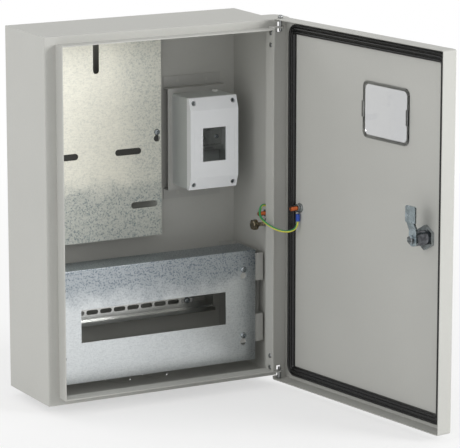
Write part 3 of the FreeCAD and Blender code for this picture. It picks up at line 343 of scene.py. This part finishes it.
@dataclass(frozen=True)
class PowderCoat:
    """Polyester powder coat on sheet steel, sprayed and stoved: satin, with a fine orange peel."""

    name: str
    colour: str
    roughness: float = 0.62
    peel_mm: float = 2.2
    bump: float = 0.12
    drift_mm: float = 120.0
    ior: float = 1.5

    def build(self) -> bpy.types.Material:
        """Build the material.

        Returns:
            A satin paint whose skin is slightly pebbled and never quite even in tone.
        """
        material, tree, shader, place = new_material(self.name)
        # The real peel is about 1.5 mm wide and is drawn a little coarser, so that it shows.
        peel = noise(tree, place, self.peel_mm, 2.0, 0.55)
        # Slow drift of the film's thickness over a hand's width.
        drift = noise(tree, place, self.drift_mm, 1.0)
        tone = add_node(tree, "ShaderNodeMath", {"operation": "MULTIPLY"},
                        {0: spread(tree, drift, 0.975, 1.015), 1: spread(tree, peel, 0.985, 1.01)})
        feed(tree, shader, {
            "Base Color": shade(tree, linear(self.colour)[:3], tone.outputs["Value"]),
            "Roughness": spread(tree, drift, self.roughness - 0.04, self.roughness + 0.04, whole=True),
            "Normal": relief(tree, peel, self.bump, 0.15),
            "IOR": self.ior})
        return material


@dataclass(frozen=True)
class PaintedReflectionZone:
    """A zone of painted reflection: the sheet is painted darker and bluer there, growing along one direction."""

    along: tuple[float, float, float]
    starts_mm: float
    full_mm: float
    strength: float
    stops_mm: float = 1000.0


@dataclass(frozen=True)
class GalvanisedSheet:
    """Hot-dip galvanised steel sheet, temper rolled: bright zinc with blue-grey specks, painted darker and bluer
    in zones as painted reflection.
    """

    name: str
    light: str
    dark: str
    zones: tuple[PaintedReflectionZone, ...] = ()
    speck_mm: float = 2.6
    grain_mm: float = 1.5
    cloud_mm: float = 35.0
    base_specks: float = 0.1
    crowding: float = 0.45
    painted_reflection_weight: float = 0.62
    roughness: float = 0.34

    def build(self) -> bpy.types.Material:
        """Build the material.

        Returns:
            A bright metal with fine rolling grain and dark specks, painted darker and bluer, with more specks, in
            its zones of painted reflection.
        """
        material, tree, shader, place = new_material(self.name)
        # Rolling draws the grain out along the sheet, about four times as long as it is wide.
        drawn = add_node(tree, "ShaderNodeVectorMath", {"operation": "MULTIPLY"},
                         {0: place, 1: (0.25, 1.0, 1.0)})
        grain = noise(tree, drawn.outputs["Vector"], self.grain_mm, 2.0)
        # Real specks are 0.5 to 3 mm; they are drawn at the coarse end, with finer ones on top,
        # so that they show.
        specks = noise(tree, place, self.speck_mm, 4.0, 0.75)
        dots = add_node(tree, "ShaderNodeMapRange", {"interpolation_type": "SMOOTHSTEP"},
                        {"Value": specks, "From Min": 0.38, "From Max": 0.52, "To Min": 1.0, "To Max": 0.0})
        # The zones' mask is painted reflection: where it rises, the sheet is painted darker and bluer and specks
        # crowd in.
        painted_reflection = self.painted_reflection(tree, place)
        crowd = add_node(tree, "ShaderNodeMath", {"operation": "MULTIPLY_ADD"},
                         {0: painted_reflection, 1: self.crowding, 2: self.base_specks})
        spots = add_node(tree, "ShaderNodeMath", {"operation": "MULTIPLY"},
                         {0: dots.outputs["Result"], 1: crowd.outputs["Value"]})
        share = add_node(tree, "ShaderNodeMath", {"operation": "MULTIPLY_ADD", "use_clamp": True},
                         {0: painted_reflection, 1: self.painted_reflection_weight, 2: spots.outputs["Value"]}).outputs["Value"]
        tone = add_node(tree, "ShaderNodeMix", {"data_type": "RGBA"},
                        {"Factor": share, MIX_A: linear(self.light), MIX_B: linear(self.dark)})
        feed(tree, shader, {
            "Base Color": shade(tree, tone.outputs[MIX_RESULT], spread(tree, grain, 0.93, 1.03)),
            "Roughness": spread(tree, share, self.roughness - 0.03, self.roughness + 0.12, whole=True),
            "Normal": relief(tree, grain, 0.16, 0.1),
            "Metallic": 1.0})
        return material

    def painted_reflection(self, tree: bpy.types.NodeTree, place: bpy.types.NodeSocket) -> bpy.types.NodeSocket:
        """Add the nodes that say how far each place is painted darker, as painted reflection.

        Args:
            tree: The material's node tree.
            place: Object coordinates.

        Returns:
            A socket from 0, bright, to 1, painted darkest, with a cloudy edge.
        """
        # A cloud noise over a hand's width gives a faint random dullness everywhere, and makes the edges of the
        # painted reflection zones wander by a centimetre or two.
        cloud = noise(tree, place, self.cloud_mm, 3.0)
        wander = add_node(tree, "ShaderNodeMath", {"operation": "MULTIPLY_ADD"},
                          {0: cloud, 1: 0.05, 2: -0.025})
        worst = add_node(tree, "ShaderNodeMath", {"operation": "MULTIPLY"}, {0: cloud, 1: 0.12}).outputs["Value"]
        for zone in self.zones:
            reach = add_node(tree, "ShaderNodeVectorMath", {"operation": "DOT_PRODUCT"},
                             {0: place, 1: zone.along})
            shifted = add_node(tree, "ShaderNodeMath", {"operation": "ADD"},
                               {0: reach.outputs["Value"], 1: wander.outputs["Value"]})
            grown = add_node(tree, "ShaderNodeMapRange", {"interpolation_type": "SMOOTHSTEP"},
                             {"Value": shifted.outputs["Value"], "From Min": zone.starts_mm * MM,
                              "From Max": zone.full_mm * MM, "To Max": zone.strength})
            within = add_node(tree, "ShaderNodeMath", {"operation": "LESS_THAN"},
                              {0: reach.outputs["Value"], 1: zone.stops_mm * MM})
            kept = add_node(tree, "ShaderNodeMath", {"operation": "MULTIPLY"},
                            {0: grown.outputs["Result"], 1: within.outputs["Value"]})
            worst = add_node(tree, "ShaderNodeMath", {"operation": "MAXIMUM"},
                             {0: worst, 1: kept.outputs["Value"]}).outputs["Value"]
        return worst


@dataclass(frozen=True)
class PlatedSteel:
    """Turned or pressed steel with a thin electroplated coat: bright, with a faint tool grain."""

    name: str
    colour: str
    roughness: float
    grain_mm: float = 0.9
    grain: float = 0.08
    contrast: float = 0.1
    streak_mm: float = 7.0

    def build(self) -> bpy.types.Material:
        """Build the material.

        Returns:
            A plated metal whose shine is broken by fine grain and by darker patches of base colour, which where
            the contrast is high are painted streaky reflection.
        """
        material, tree, shader, place = new_material(self.name)
        # Random patches darken the base colour by up to the contrast; where it is high they are painted streaky
        # reflection.
        streak = noise(tree, place, self.streak_mm, 2.0)
        feed(tree, shader, {
            "Base Color": shade(tree, linear(self.colour)[:3], spread(tree, streak, 1.0 - self.contrast, 1.04)),
            "Roughness": spread(tree, streak, self.roughness * 0.8, self.roughness * 1.3),
            "Normal": relief(tree, noise(tree, place, self.grain_mm, 3.0), self.grain, 0.05),
            "Metallic": 1.0})
        return material


@dataclass(frozen=True)
class MouldedPlastic:
    """Injection-moulded thermoplastic with a spark-eroded satin skin."""

    name: str
    colour: str
    roughness: float = 0.38
    skin_mm: float = 0.8
    flow_mm: float = 30.0
    bump: float = 0.05
    ior: float = 1.53

    def build(self) -> bpy.types.Material:
        """Build the material.

        Returns:
            A satin plastic with a very fine, even skin.
        """
        material, tree, shader, place = new_material(self.name)
        skin = noise(tree, place, self.skin_mm, 2.0)
        # The resin's flow in the mould leaves the tone a trace uneven.
        flow = noise(tree, place, self.flow_mm, 1.0)
        feed(tree, shader, {
            "Base Color": shade(tree, linear(self.colour)[:3], spread(tree, flow, 0.985, 1.01)),
            "Roughness": spread(tree, skin, self.roughness - 0.05, self.roughness + 0.05, whole=True),
            "Normal": relief(tree, skin, self.bump, 0.05),
            "IOR": self.ior})
        return material


@dataclass(frozen=True)
class ClearPane:
    """Polycarbonate pane, moulded clear: a cool grey seen against a white room."""

    name: str
    colour: str
    roughness: float = 0.04
    wave_mm: float = 25.0
    ior: float = 1.58

    def build(self) -> bpy.types.Material:
        """Build the material.

        Returns:
            A slightly tinted clear plastic.
        """
        material, tree, shader, place = new_material(self.name)
        # A moulded pane is never optically flat: long soft waves, tens of millimetres apart.
        wave = noise(tree, place, self.wave_mm, 1.0)
        feed(tree, shader, {
            "Base Color": linear(self.colour),
            "Roughness": self.roughness,
            "Normal": relief(tree, wave, 0.1, 0.3),
            "Transmission Weight": 1.0,
            "IOR": self.ior})
        return material


@dataclass(frozen=True)
class MouldedRubber:
    """Foamed rubber profile, poured and cured: black, with a slightly glossy closed skin."""

    name: str
    colour: str
    pore_mm: float = 1.2
    ior: float = 1.52

    def build(self) -> bpy.types.Material:
        """Build the material.

        Returns:
            A black rubber that catches light along its ridges.
        """
        material, tree, shader, place = new_material(self.name)
        pores = noise(tree, place, self.pore_mm, 3.0)
        feed(tree, shader, {
            "Base Color": linear(self.colour),
            "Roughness": spread(tree, pores, 0.2, 0.32, whole=True),
            "Normal": relief(tree, pores, 0.15, 0.1),
            "IOR": self.ior,
            "Specular IOR Level": 0.45})
        return material


@dataclass(frozen=True)
class StripedInsulation:
    """Two-colour extruded PVC insulation: the stripe runs along the wire."""

    name: str
    ground: str
    stripe: str
    stripe_reach: float = 0.35
    stripe_blur: float = 0.04
    skin_mm: float = 3.0
    ior: float = 1.53

    def build(self) -> bpy.types.Material:
        """Build the material.

        Returns:
            A smooth soft plastic, striped along the wire's own length.
        """
        material, tree, shader, place = new_material(self.name)
        side = add_node(tree, "ShaderNodeAttribute", {"attribute_name": STRIPE})
        # The two colours run into each other over a tenth of a millimetre, as extruded PVC does.
        inside = add_node(tree, "ShaderNodeMapRange", {"interpolation_type": "SMOOTHSTEP"},
                          {"Value": side.outputs["Fac"], "From Min": self.stripe_reach - self.stripe_blur,
                           "From Max": self.stripe_reach + self.stripe_blur})
        tone = add_node(tree, "ShaderNodeMix", {"data_type": "RGBA"},
                        {"Factor": inside.outputs["Result"], MIX_A: linear(self.ground),
                         MIX_B: linear(self.stripe)})
        feed(tree, shader, {
            "Base Color": tone.outputs[MIX_RESULT],
            "Roughness": spread(tree, noise(tree, place, self.skin_mm, 2.0), 0.28, 0.42, whole=True),
            "IOR": self.ior})
        return material


class Coat(Enum):
    """The finishes that the box's makers used, by what they are on; some also carry painted shade and painted
    reflection.
    """

    CASING = PowderCoat("powder_coat_casing", "#BBBBB6")
    FITTING = PowderCoat("powder_coat_brackets", "#B4B4B0", roughness=0.5)
    DOOR = PowderCoat("powder_coat_door", "#BBBBB6")
    # Near black: painted shade for the bracket hidden behind the meter plate, seen through its slots.
    HIDDEN = PowderCoat("painted_shade_bracket", "#33332F", roughness=0.6)
    # The meter plate is painted darker and bluer to the right and towards the bottom: painted reflection.
    METER_PLATE = GalvanisedSheet(
        "galvanised_meter_plate", "#F1EFE2", "#6C7E86",
        (PaintedReflectionZone((1.0, 0.0, 0.0), -45, 25, 0.36), PaintedReflectionZone((0.0, 0.0, -1.0), -45, 0, 0.66)), roughness=0.48)
    # The false panel is painted darker in a band along its top and towards the right: painted reflection.
    FALSE_PANEL = GalvanisedSheet(
        "galvanised_false_panel", "#DDE1E2", "#5F6E7C",
        (PaintedReflectionZone((0.0, 0.0, 1.0), -140, -98, 0.74, stops_mm=-62.5), PaintedReflectionZone((1.0, 0.0, 0.0), 80, 170, 0.35)),
        speck_mm=2.2)
    RAIL = GalvanisedSheet("passivated_rail", "#D6D7D4", "#8F9294", speck_mm=1.6, roughness=0.24)
    SCREW = PlatedSteel("zinc_plated_screws", "#A6ACAF", 0.2, contrast=0.55, streak_mm=2.0)
    PIN = PlatedSteel("zinc_plated_pins", "#9C9E9E", 0.3, contrast=0.3, streak_mm=3.0)
    BOLT = PlatedSteel("zinc_plated_bolt", "#A49A84", 0.3, contrast=0.6, streak_mm=3.0)
    CAM = PlatedSteel("blue_passivated_cam", "#BFCCD2", 0.24, contrast=0.16, streak_mm=9.0)
    BRIGHT = PlatedSteel("bright_plated_nut", "#C4CACD", 0.16, contrast=0.5, streak_mm=6.0)
    # The barrel's dark grey and its deep patches are painted reflection and shade; the die-cast metal itself is
    # silver.
    BARREL = PlatedSteel("die_cast_barrel", "#6A6C6F", 0.13, contrast=0.7, streak_mm=5.0)
    COPPER = PlatedSteel("copper_plated_stud", "#C2693F", 0.34)
    TIN = PlatedSteel("tinned_copper", "#D5D5D2", 0.3)
    BOX = MouldedPlastic("moulded_box_cover", "#F4F6F8")
    # The base is the cover's plastic painted darker and teal: painted shade.
    BOX_BACK = MouldedPlastic("moulded_box_back_painted_shade", "#C6CAC8")
    PLUG = MouldedPlastic("moulded_plug", "#EEEEEC")
    SLEEVE = MouldedPlastic("blue_vinyl_sleeve", "#1D47A8", roughness=0.4)
    GASKET = MouldedRubber("moulded_rubber_gasket", "#101010")
    PANE = ClearPane("clear_window_pane", "#CDCECF")
    WIRE = StripedInsulation("green_yellow_insulation", "#2C8A4A", "#D9D24A")


class Finishes:
    """Builds each finish once and hands it out."""

    def __init__(self) -> None:
        """Start with no finish built."""
        self._made: dict[Coat, bpy.types.Material] = {}

    def __getitem__(self, coat: Coat) -> bpy.types.Material:
        """Give the material of a coat, building it at its first use."""
        if coat not in self._made:
            self._made[coat] = coat.value.build()
        return self._made[coat]


# ---------------------------------------------------------------- sub-assemblies


@dataclass
class Casing:
    """Painted steel casing with its brackets, hinge pieces and spot welds.

    The welds on the wall hold what is behind it, those on the feet the breaker box's hat section.
    """

    weld_radius: float = 2.6
    weld_depth: float = 0.25
    weld_sides: int = 20
    back_inner: float = -1.2
    foot_front: float = -2.4
    wall_welds: list[tuple[float, float]] = field(default_factory=lambda: [
        (-120.0, 126.0), (20.0, 126.0), (62.0, 190.0), (120.0, 214.0)])
    foot_welds: list[tuple[float, float]] = field(default_factory=lambda: [
        (84.0, 154.5), (129.0, 154.5), (84.0, -3.0), (129.0, -3.0)])

    def build(self, finishes: Finishes) -> None:
        """Dress the casing's CAD nodes and add the spot-weld marks on the back wall."""
        dress(finishes[Coat.CASING], "casing_shell")
        dress(finishes[Coat.FITTING], "hinge_bracket_top", "hinge_bracket_bottom",
              "breaker_box_bracket", "din_rail_bracket_left", "din_rail_bracket_right",
              "cover_bracket_left", "cover_bracket_right")
        # The hidden bracket is painted near black, as painted shade behind the meter plate's slots.
        dress(finishes[Coat.HIDDEN], "meter_plate_bracket")
        dress(finishes[Coat.PIN], "hinge_pin_top", "hinge_pin_bottom", "hinge_rivets")
        self.spot_welds(finishes)

    def spot_welds(self, finishes: Finishes) -> None:
        """Model the painted-over electrode marks as one piece of shallow raised rings."""
        radius, depth = self.weld_radius, self.weld_depth
        profile = [(radius, 0.0), (radius * 0.9, depth), (radius * 0.72, depth * 1.2),
                   (radius * 0.6, depth * 0.4), (0.3, depth * 0.3)]
        places = ([(across, self.foot_front, up) for across, up in self.foot_welds]
                  + [(across, self.back_inner, up) for across, up in self.wall_welds])
        outwards = Matrix.Rotation(math.radians(90), 4, "X")
        marks = [settle(lathe(profile, self.weld_sides), Matrix.Translation(Vector(place) * MM) @ outwards)
                 for place in places]
        deselect()
        for mark in marks:
            mark.select_set(True)
        bpy.context.view_layer.objects.active = marks[0]
        bpy.ops.object.join()
        finish_piece(marks[0], "spot_weld_marks", "casing", finishes[Coat.CASING], 60)


@dataclass
class MeterBay:
    """Galvanised meter plate, false panel, rails and their screws."""

    def build(self, finishes: Finishes) -> None:
        """Dress the bay's CAD nodes."""
        dress(finishes[Coat.METER_PLATE], "meter_plate")
        dress(finishes[Coat.FALSE_PANEL], "cover_plate")
        dress(finishes[Coat.RAIL], "din_rail", "breaker_box_rail")
        dress(finishes[Coat.SCREW], "meter_plate_screws", "din_rail_screws", "cover_plate_screws")


@dataclass
class BreakerBox:
    """White moulded box for two modules."""

    def build(self, finishes: Finishes) -> None:
        """Dress the box's CAD nodes."""
        dress(finishes[Coat.BOX], "breaker_box_cover")
        # The base gets a darker, teal copy of the cover's plastic as painted shade.
        dress(finishes[Coat.BOX_BACK], "breaker_box_base")
        dress(finishes[Coat.PLUG], "breaker_box_entry_plug")
        dress(finishes[Coat.SCREW], "breaker_box_cover_screws", "breaker_box_fixing_screws",
              "breaker_box_rail_screws")


@dataclass
class Door:
    """Door leaf with its pane and the rubber gasket."""

    centre_along: float = 171.8
    half_width: float = 159.3
    half_height: float = 239.4
    skin_inner: float = 12.8
    corner_radius: float = 16.0
    corner_segments: int = 8
    ridge_height: float = 4.5
    ridge_half: float = 7.2
    groove_shift: float = 2.6

    def build(self, finishes: Finishes) -> None:
        """Dress the leaf and pane, and model the ridged gasket."""
        dress(finishes[Coat.DOOR], "door_shell")
        dress(finishes[Coat.PANE], "window_pane")
        self.gasket(finishes)

    def gasket(self, finishes: Finishes) -> None:
        """Model the gasket as one rounded sheet whose rim is inset and raised into three ridges."""
        deselect()
        bpy.ops.mesh.primitive_plane_add(size=1, location=(0, 0, 0))
        ring = bpy.context.object
        bpy.ops.object.mode_set(mode="EDIT")
        bpy.ops.mesh.select_all(action="SELECT")
        half_width, half_height = self.half_width + self.ridge_half, self.half_height + self.ridge_half
        bpy.ops.transform.resize(value=(half_width * 2 * MM, half_height * 2 * MM, 1))
        bpy.ops.mesh.bevel(offset=self.corner_radius * MM, segments=self.corner_segments, affect="VERTICES")
        select_where(ring, "FACE", lambda face: True)
        inset, height = 0.0, 0.0
        for following, level in self.section():
            bpy.ops.mesh.inset(thickness=(following - inset) * MM, depth=(level - height) * MM,
                               use_even_offset=True)
            inset, height = following, level
        bpy.ops.mesh.delete(type="FACE")
        bpy.ops.mesh.select_mode(type="EDGE")
        bpy.ops.mesh.select_non_manifold(extend=False, use_boundary=True)
        bpy.ops.mesh.bridge_edge_loops()
        bpy.ops.mesh.select_all(action="SELECT")
        bpy.ops.mesh.normals_make_consistent(inside=False)
        bpy.ops.object.mode_set(mode="OBJECT")
        turn = Matrix.Rotation(math.radians(-90), 4, "X")
        settle(ring, door_place(self.centre_along, self.skin_inner, 0.0) @ turn)
        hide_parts("door_gasket")
        finish_piece(ring, "gasket_ring", "door", finishes[Coat.GASKET], 50)

    def section(self) -> list[tuple[float, float]]:
        """List the gasket's section: two rounded shoulders and a middle ridge between two grooves.

        Returns:
            Distance from the outer edge and height from the skin, from the outer edge inwards.
        """
        top, width = self.ridge_height, self.ridge_half * 2
        shoulder = [(0.3, top * 0.5), (0.9, top * 0.84), (1.9, top * 0.98)]
        stations = list(shoulder)
        for shift in (-self.groove_shift, self.groove_shift):
            middle = self.ridge_half + shift
            stations += [(middle - 1.3, top), (middle - 0.75, top * 0.9), (middle - 0.4, top * 0.72),
                         (middle + 0.4, top * 0.72), (middle + 0.75, top * 0.9), (middle + 1.3, top)]
        stations += [(width - across, level) for across, level in reversed(shoulder)]
        return stations + [(width, 0.0)]


@dataclass
class CamLock:
    """Cam lock: turned and threaded barrel, nut, core and bent cam."""

    along: float = 297.5
    up: float = 0.0
    skin_outer: float = 14.0
    barrel_radius: float = 9.4
    barrel_reach: float = 22.9
    face_radius: float = 14.0
    face_height: float = 3.0
    bore_radius: float = 6.05
    pitch: float = 1.25
    thread_depth: float = 0.65
    thread_start: float = 2.0
    thread_relief: float = 1.6
    sides: int = 48

    def build(self, finishes: Finishes) -> None:
        """Dress the lock's CAD nodes and model the threaded barrel."""
        dress(finishes[Coat.BRIGHT], "lock_nut", "lock_core")
        dress(finishes[Coat.CAM], "lock_cam")
        dress(finishes[Coat.SCREW], "cam_bolt", "cam_washer")
        self.barrel(finishes)

    def barrel(self, finishes: Finishes) -> None:
        """Turn the barrel with its thread's ridges, its round face outside and its bore."""
        outer, face, end = self.barrel_radius, self.face_radius, -self.barrel_reach
        stations = [(self.bore_radius, self.face_height), (face - 1.6, self.face_height),
                    (face - 0.5, self.face_height - 0.4), (face, self.face_height - 1.4), (face, 0.0),
                    (outer, 0.0)]
        level = -self.thread_start
        while level > end + self.thread_relief:
            stations += [(outer, level), (outer - self.thread_depth, level - self.pitch * 0.5)]
            level -= self.pitch
        stations += [(outer - 0.2, end + 0.8), (outer - 1.0, end), (self.bore_radius, end),
                     (self.bore_radius, self.face_height)]
        turned = lathe(stations, self.sides)
        turn = Matrix.Rotation(math.radians(90), 4, "X")
        settle(turned, door_place(self.along, self.skin_outer, self.up) @ turn)
        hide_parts("lock_housing")
        finish_piece(turned, "lock_barrel_threaded", "door", finishes[Coat.BARREL], 25)


@dataclass
class Earthing:
    """Weld studs, terminals and the door's bonding wire."""

    wire_radius: float = 1.65
    stripe_towards: tuple[float, float, float] = (-0.25, -0.55, -0.8)
    route: list[tuple[float, float, float]] = field(default_factory=lambda: [
        (170.9, -111.38, -26.62), (170.9, -120.38, -15.89), (155.0, -117.0, -4.0), (147.0, -122.0, -20.0),
        (150.0, -138.0, -29.5), (159.0, -155.0, -36.5), (172.0, -163.5, -38.5), (185.22, -164.0, -33.0),
        (185.22, -164.0, -20.6)])

    def build(self, finishes: Finishes) -> None:
        """Dress the earthing's CAD nodes and lay the wire."""
        dress(finishes[Coat.COPPER], "casing_earth_stud", "door_earth_stud")
        dress(finishes[Coat.SCREW], "casing_earth_nut", "casing_earth_washer", "earthing_bolt_washer",
              "door_earth_nut", "door_earth_washer")
        dress(finishes[Coat.BOLT], "earthing_bolt")
        dress(finishes[Coat.TIN], "casing_ring_terminal", "door_ring_terminal")
        dress(finishes[Coat.SLEEVE], "casing_terminal_sleeve", "door_terminal_sleeve")
        self.wire(finishes)

    def wire(self, finishes: Finishes) -> None:
        """Lay the bonding wire along one smooth curve from terminal to terminal."""
        curve = bpy.data.curves.new("bonding_wire", "CURVE")
        curve.dimensions = "3D"
        spline = curve.splines.new("NURBS")
        spline.points.add(len(self.route) - 1)
        for point, place in zip(spline.points, self.route):
            point.co = (*(Vector(place) * MM), 1.0)
        spline.order_u = 3
        spline.use_endpoint_u = True
        spline.resolution_u = 12
        line = bpy.data.objects.new("bonding_wire", curve)
        bpy.context.scene.collection.objects.link(line)
        bpy.context.view_layer.update()
        centre = bpy.data.meshes.new_from_object(line)
        followed = [tuple(vertex.co) for vertex in centre.vertices]
        bpy.data.meshes.remove(centre)
        curve.bevel_depth = self.wire_radius * MM
        curve.bevel_resolution = 5
        curve.use_fill_caps = True
        pick(line)
        bpy.ops.object.convert(target="MESH")
        tube = bpy.context.object
        side = tube.data.attributes.new(STRIPE, "FLOAT", "POINT")
        line_points = [Vector(point) for point in followed]
        towards = Vector(self.stripe_towards).normalized()
        for vertex in tube.data.vertices:
            nearest = min(line_points, key=lambda point: (point - vertex.co).length_squared)
            side.data[vertex.index].value = (vertex.co - nearest).dot(towards) / (self.wire_radius * MM)
        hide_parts("earth_wire")
        finish_piece(tube, "bonding_wire", "", finishes[Coat.WIRE], 60)
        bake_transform(tube)
        run = sum((a - b).length for a, b in zip(line_points, line_points[1:]))
        followed[0]
        LOG.info("bonding wire is %.0f mm long", run * 1000)


# ---------------------------------------------------------------- studio


def shown(tree: bpy.types.NodeTree) -> bpy.types.NodeSocket:
    """Add the nodes that tell a ray that shows a surface from one that only carries its light.

    Args:
        tree: The node tree of the world or of a material.

    Returns:
        A socket at 1 for camera, transmission and glossy rays and at 0 for the rest.
    """
    rays = add_node(tree, "ShaderNodeLightPath")
    seen = add_node(tree, "ShaderNodeMath", {"operation": "MAXIMUM"},
                    {0: rays.outputs["Is Camera Ray"], 1: rays.outputs["Is Transmission Ray"]})
    either = add_node(tree, "ShaderNodeMath", {"operation": "MAXIMUM"},
                      {0: seen.outputs["Value"], 1: rays.outputs["Is Glossy Ray"]})
    return either.outputs["Value"]


@dataclass
class Softbox:
    """One soft area lamp aimed at a point."""

    name: str
    place: tuple[float, float, float]
    size: float
    power: float
    aim: tuple[float, float, float] = (0.0, -0.1, 0.0)
    colour: str = WHITE

    def build(self) -> None:
        """Hang the lamp."""
        lamp = bpy.data.lights.new(self.name, "AREA")
        lamp.shape = "SQUARE"
        lamp.size = self.size
        lamp.energy = self.power
        lamp.color = linear(self.colour)[:3]
        stand = bpy.data.objects.new(self.name, lamp)
        stand.location = self.place
        gaze = Vector(self.aim) - Vector(self.place)
        stand.rotation_euler = gaze.to_track_quat("-Z", "Y").to_euler()
        bpy.context.scene.collection.objects.link(stand)


@dataclass
class Studio:
    """Pale floor, white room, softboxes and the camera of the photograph."""

    ambient: float = 0.56
    floor_level: float = -0.262
    floor_size: float = 60.0
    floor_colour: str = "#F4F4F4"
    floor_roughness: float = 0.9
    floor_lift: float = 0.55
    shadow_reach: float = 0.4
    lens: float = 234.434
    camera_place: tuple[float, float, float] = (-1.8073, -3.6449, 0.8367)
    yaw: float = 28.46
    pitch: float = 12.175
    lamps: list[Softbox] = field(default_factory=lambda: [
        Softbox("left_softbox", (-3.2, -0.7, 1.0), 1.8, 25),
        Softbox("front_softbox", (-1.2, -3.4, 1.4), 1.6, 4),
        Softbox("right_softbox", (2.4, -3.0, 1.2), 1.6, 86),
        Softbox("top_softbox", (-0.2, -0.2, 2.8), 1.6, 4),
        Softbox("back_softbox", (-1.6, 2.4, 1.6), 1.6, 20)])

    def build(self) -> None:
        """Build the room, the lamps and the camera."""
        self.room()
        self.floor()
        for lamp in self.lamps:
            lamp.build()
        self.camera()

    def room(self) -> None:
        """Light the world evenly and show it white behind the object and in its metal."""
        world = bpy.data.worlds.new("white_room")
        bpy.context.scene.world = world
        world.use_nodes = True
        tree = world.node_tree
        background = tree.nodes["Background"]
        background.inputs["Color"].default_value = linear(WHITE)
        level = add_node(tree, "ShaderNodeMapRange", None,
                         {"Value": shown(tree), "To Min": self.ambient, "To Max": 1.0})
        tree.links.new(level.outputs["Result"], background.inputs["Strength"])

    def floor(self) -> None:
        """Lay the pale floor, white to the camera except for the object's shadow."""
        deselect()
        bpy.ops.mesh.primitive_plane_add(size=self.floor_size, location=(0, 0, self.floor_level))
        plane = bpy.context.object
        plane.name = "floor"
        material, tree, shader, place = new_material("pale_floor")
        feed(tree, shader, {"Base Color": linear(self.floor_colour), "Roughness": self.floor_roughness})
        # The lamps fade with distance, so the floor is lifted to white more and more away from the box.
        away = add_node(tree, "ShaderNodeVectorMath", {"operation": "LENGTH"}, {0: place})
        lift = add_node(tree, "ShaderNodeMapRange", None,
                        {"Value": away.outputs["Value"], "From Min": self.shadow_reach,
                         "From Max": self.shadow_reach * 4, "To Min": self.floor_lift, "To Max": 1.0})
        shine = add_node(tree, "ShaderNodeMath", {"operation": "MULTIPLY"},
                         {0: lift.outputs["Result"], 1: shown(tree)})
        white = add_node(tree, "ShaderNodeEmission", None, {"Color": linear(WHITE), "Strength": 1.0})
        mixed = add_node(tree, "ShaderNodeMixShader", None,
                         {0: shine.outputs["Value"], 1: shader.outputs["BSDF"], 2: white.outputs["Emission"]})
        tree.links.new(mixed.outputs["Shader"], tree.nodes["Material Output"].inputs["Surface"])
        plane.data.materials.append(material)

    def camera(self) -> None:
        """Stand the camera where the photograph was taken from."""
        data = bpy.data.cameras.new("camera")
        data.lens = self.lens
        data.sensor_width = 36.0
        data.clip_end = 100.0
        stand = bpy.data.objects.new("camera", data)
        yaw, pitch = math.radians(self.yaw), math.radians(self.pitch)
        gaze = Vector((math.sin(yaw) * math.cos(pitch), math.cos(yaw) * math.cos(pitch), -math.sin(pitch)))
        stand.location = self.camera_place
        stand.rotation_euler = gaze.to_track_quat("-Z", "Y").to_euler()
        bpy.context.scene.collection.objects.link(stand)
        bpy.context.scene.camera = stand
        bpy.context.scene.view_settings.view_transform = "Standard"


def main() -> None:
    """Build and dress the whole box, then light it."""
    logging.basicConfig(level=logging.INFO, format="%(name)s: %(message)s")
    finishes = Finishes()
    for part in (Casing(), MeterBay(), BreakerBox(), Door(), CamLock(), Earthing()):
        part.build(finishes)
    Studio().build()
    deselect()


if __name__ == "__main__":
    main()
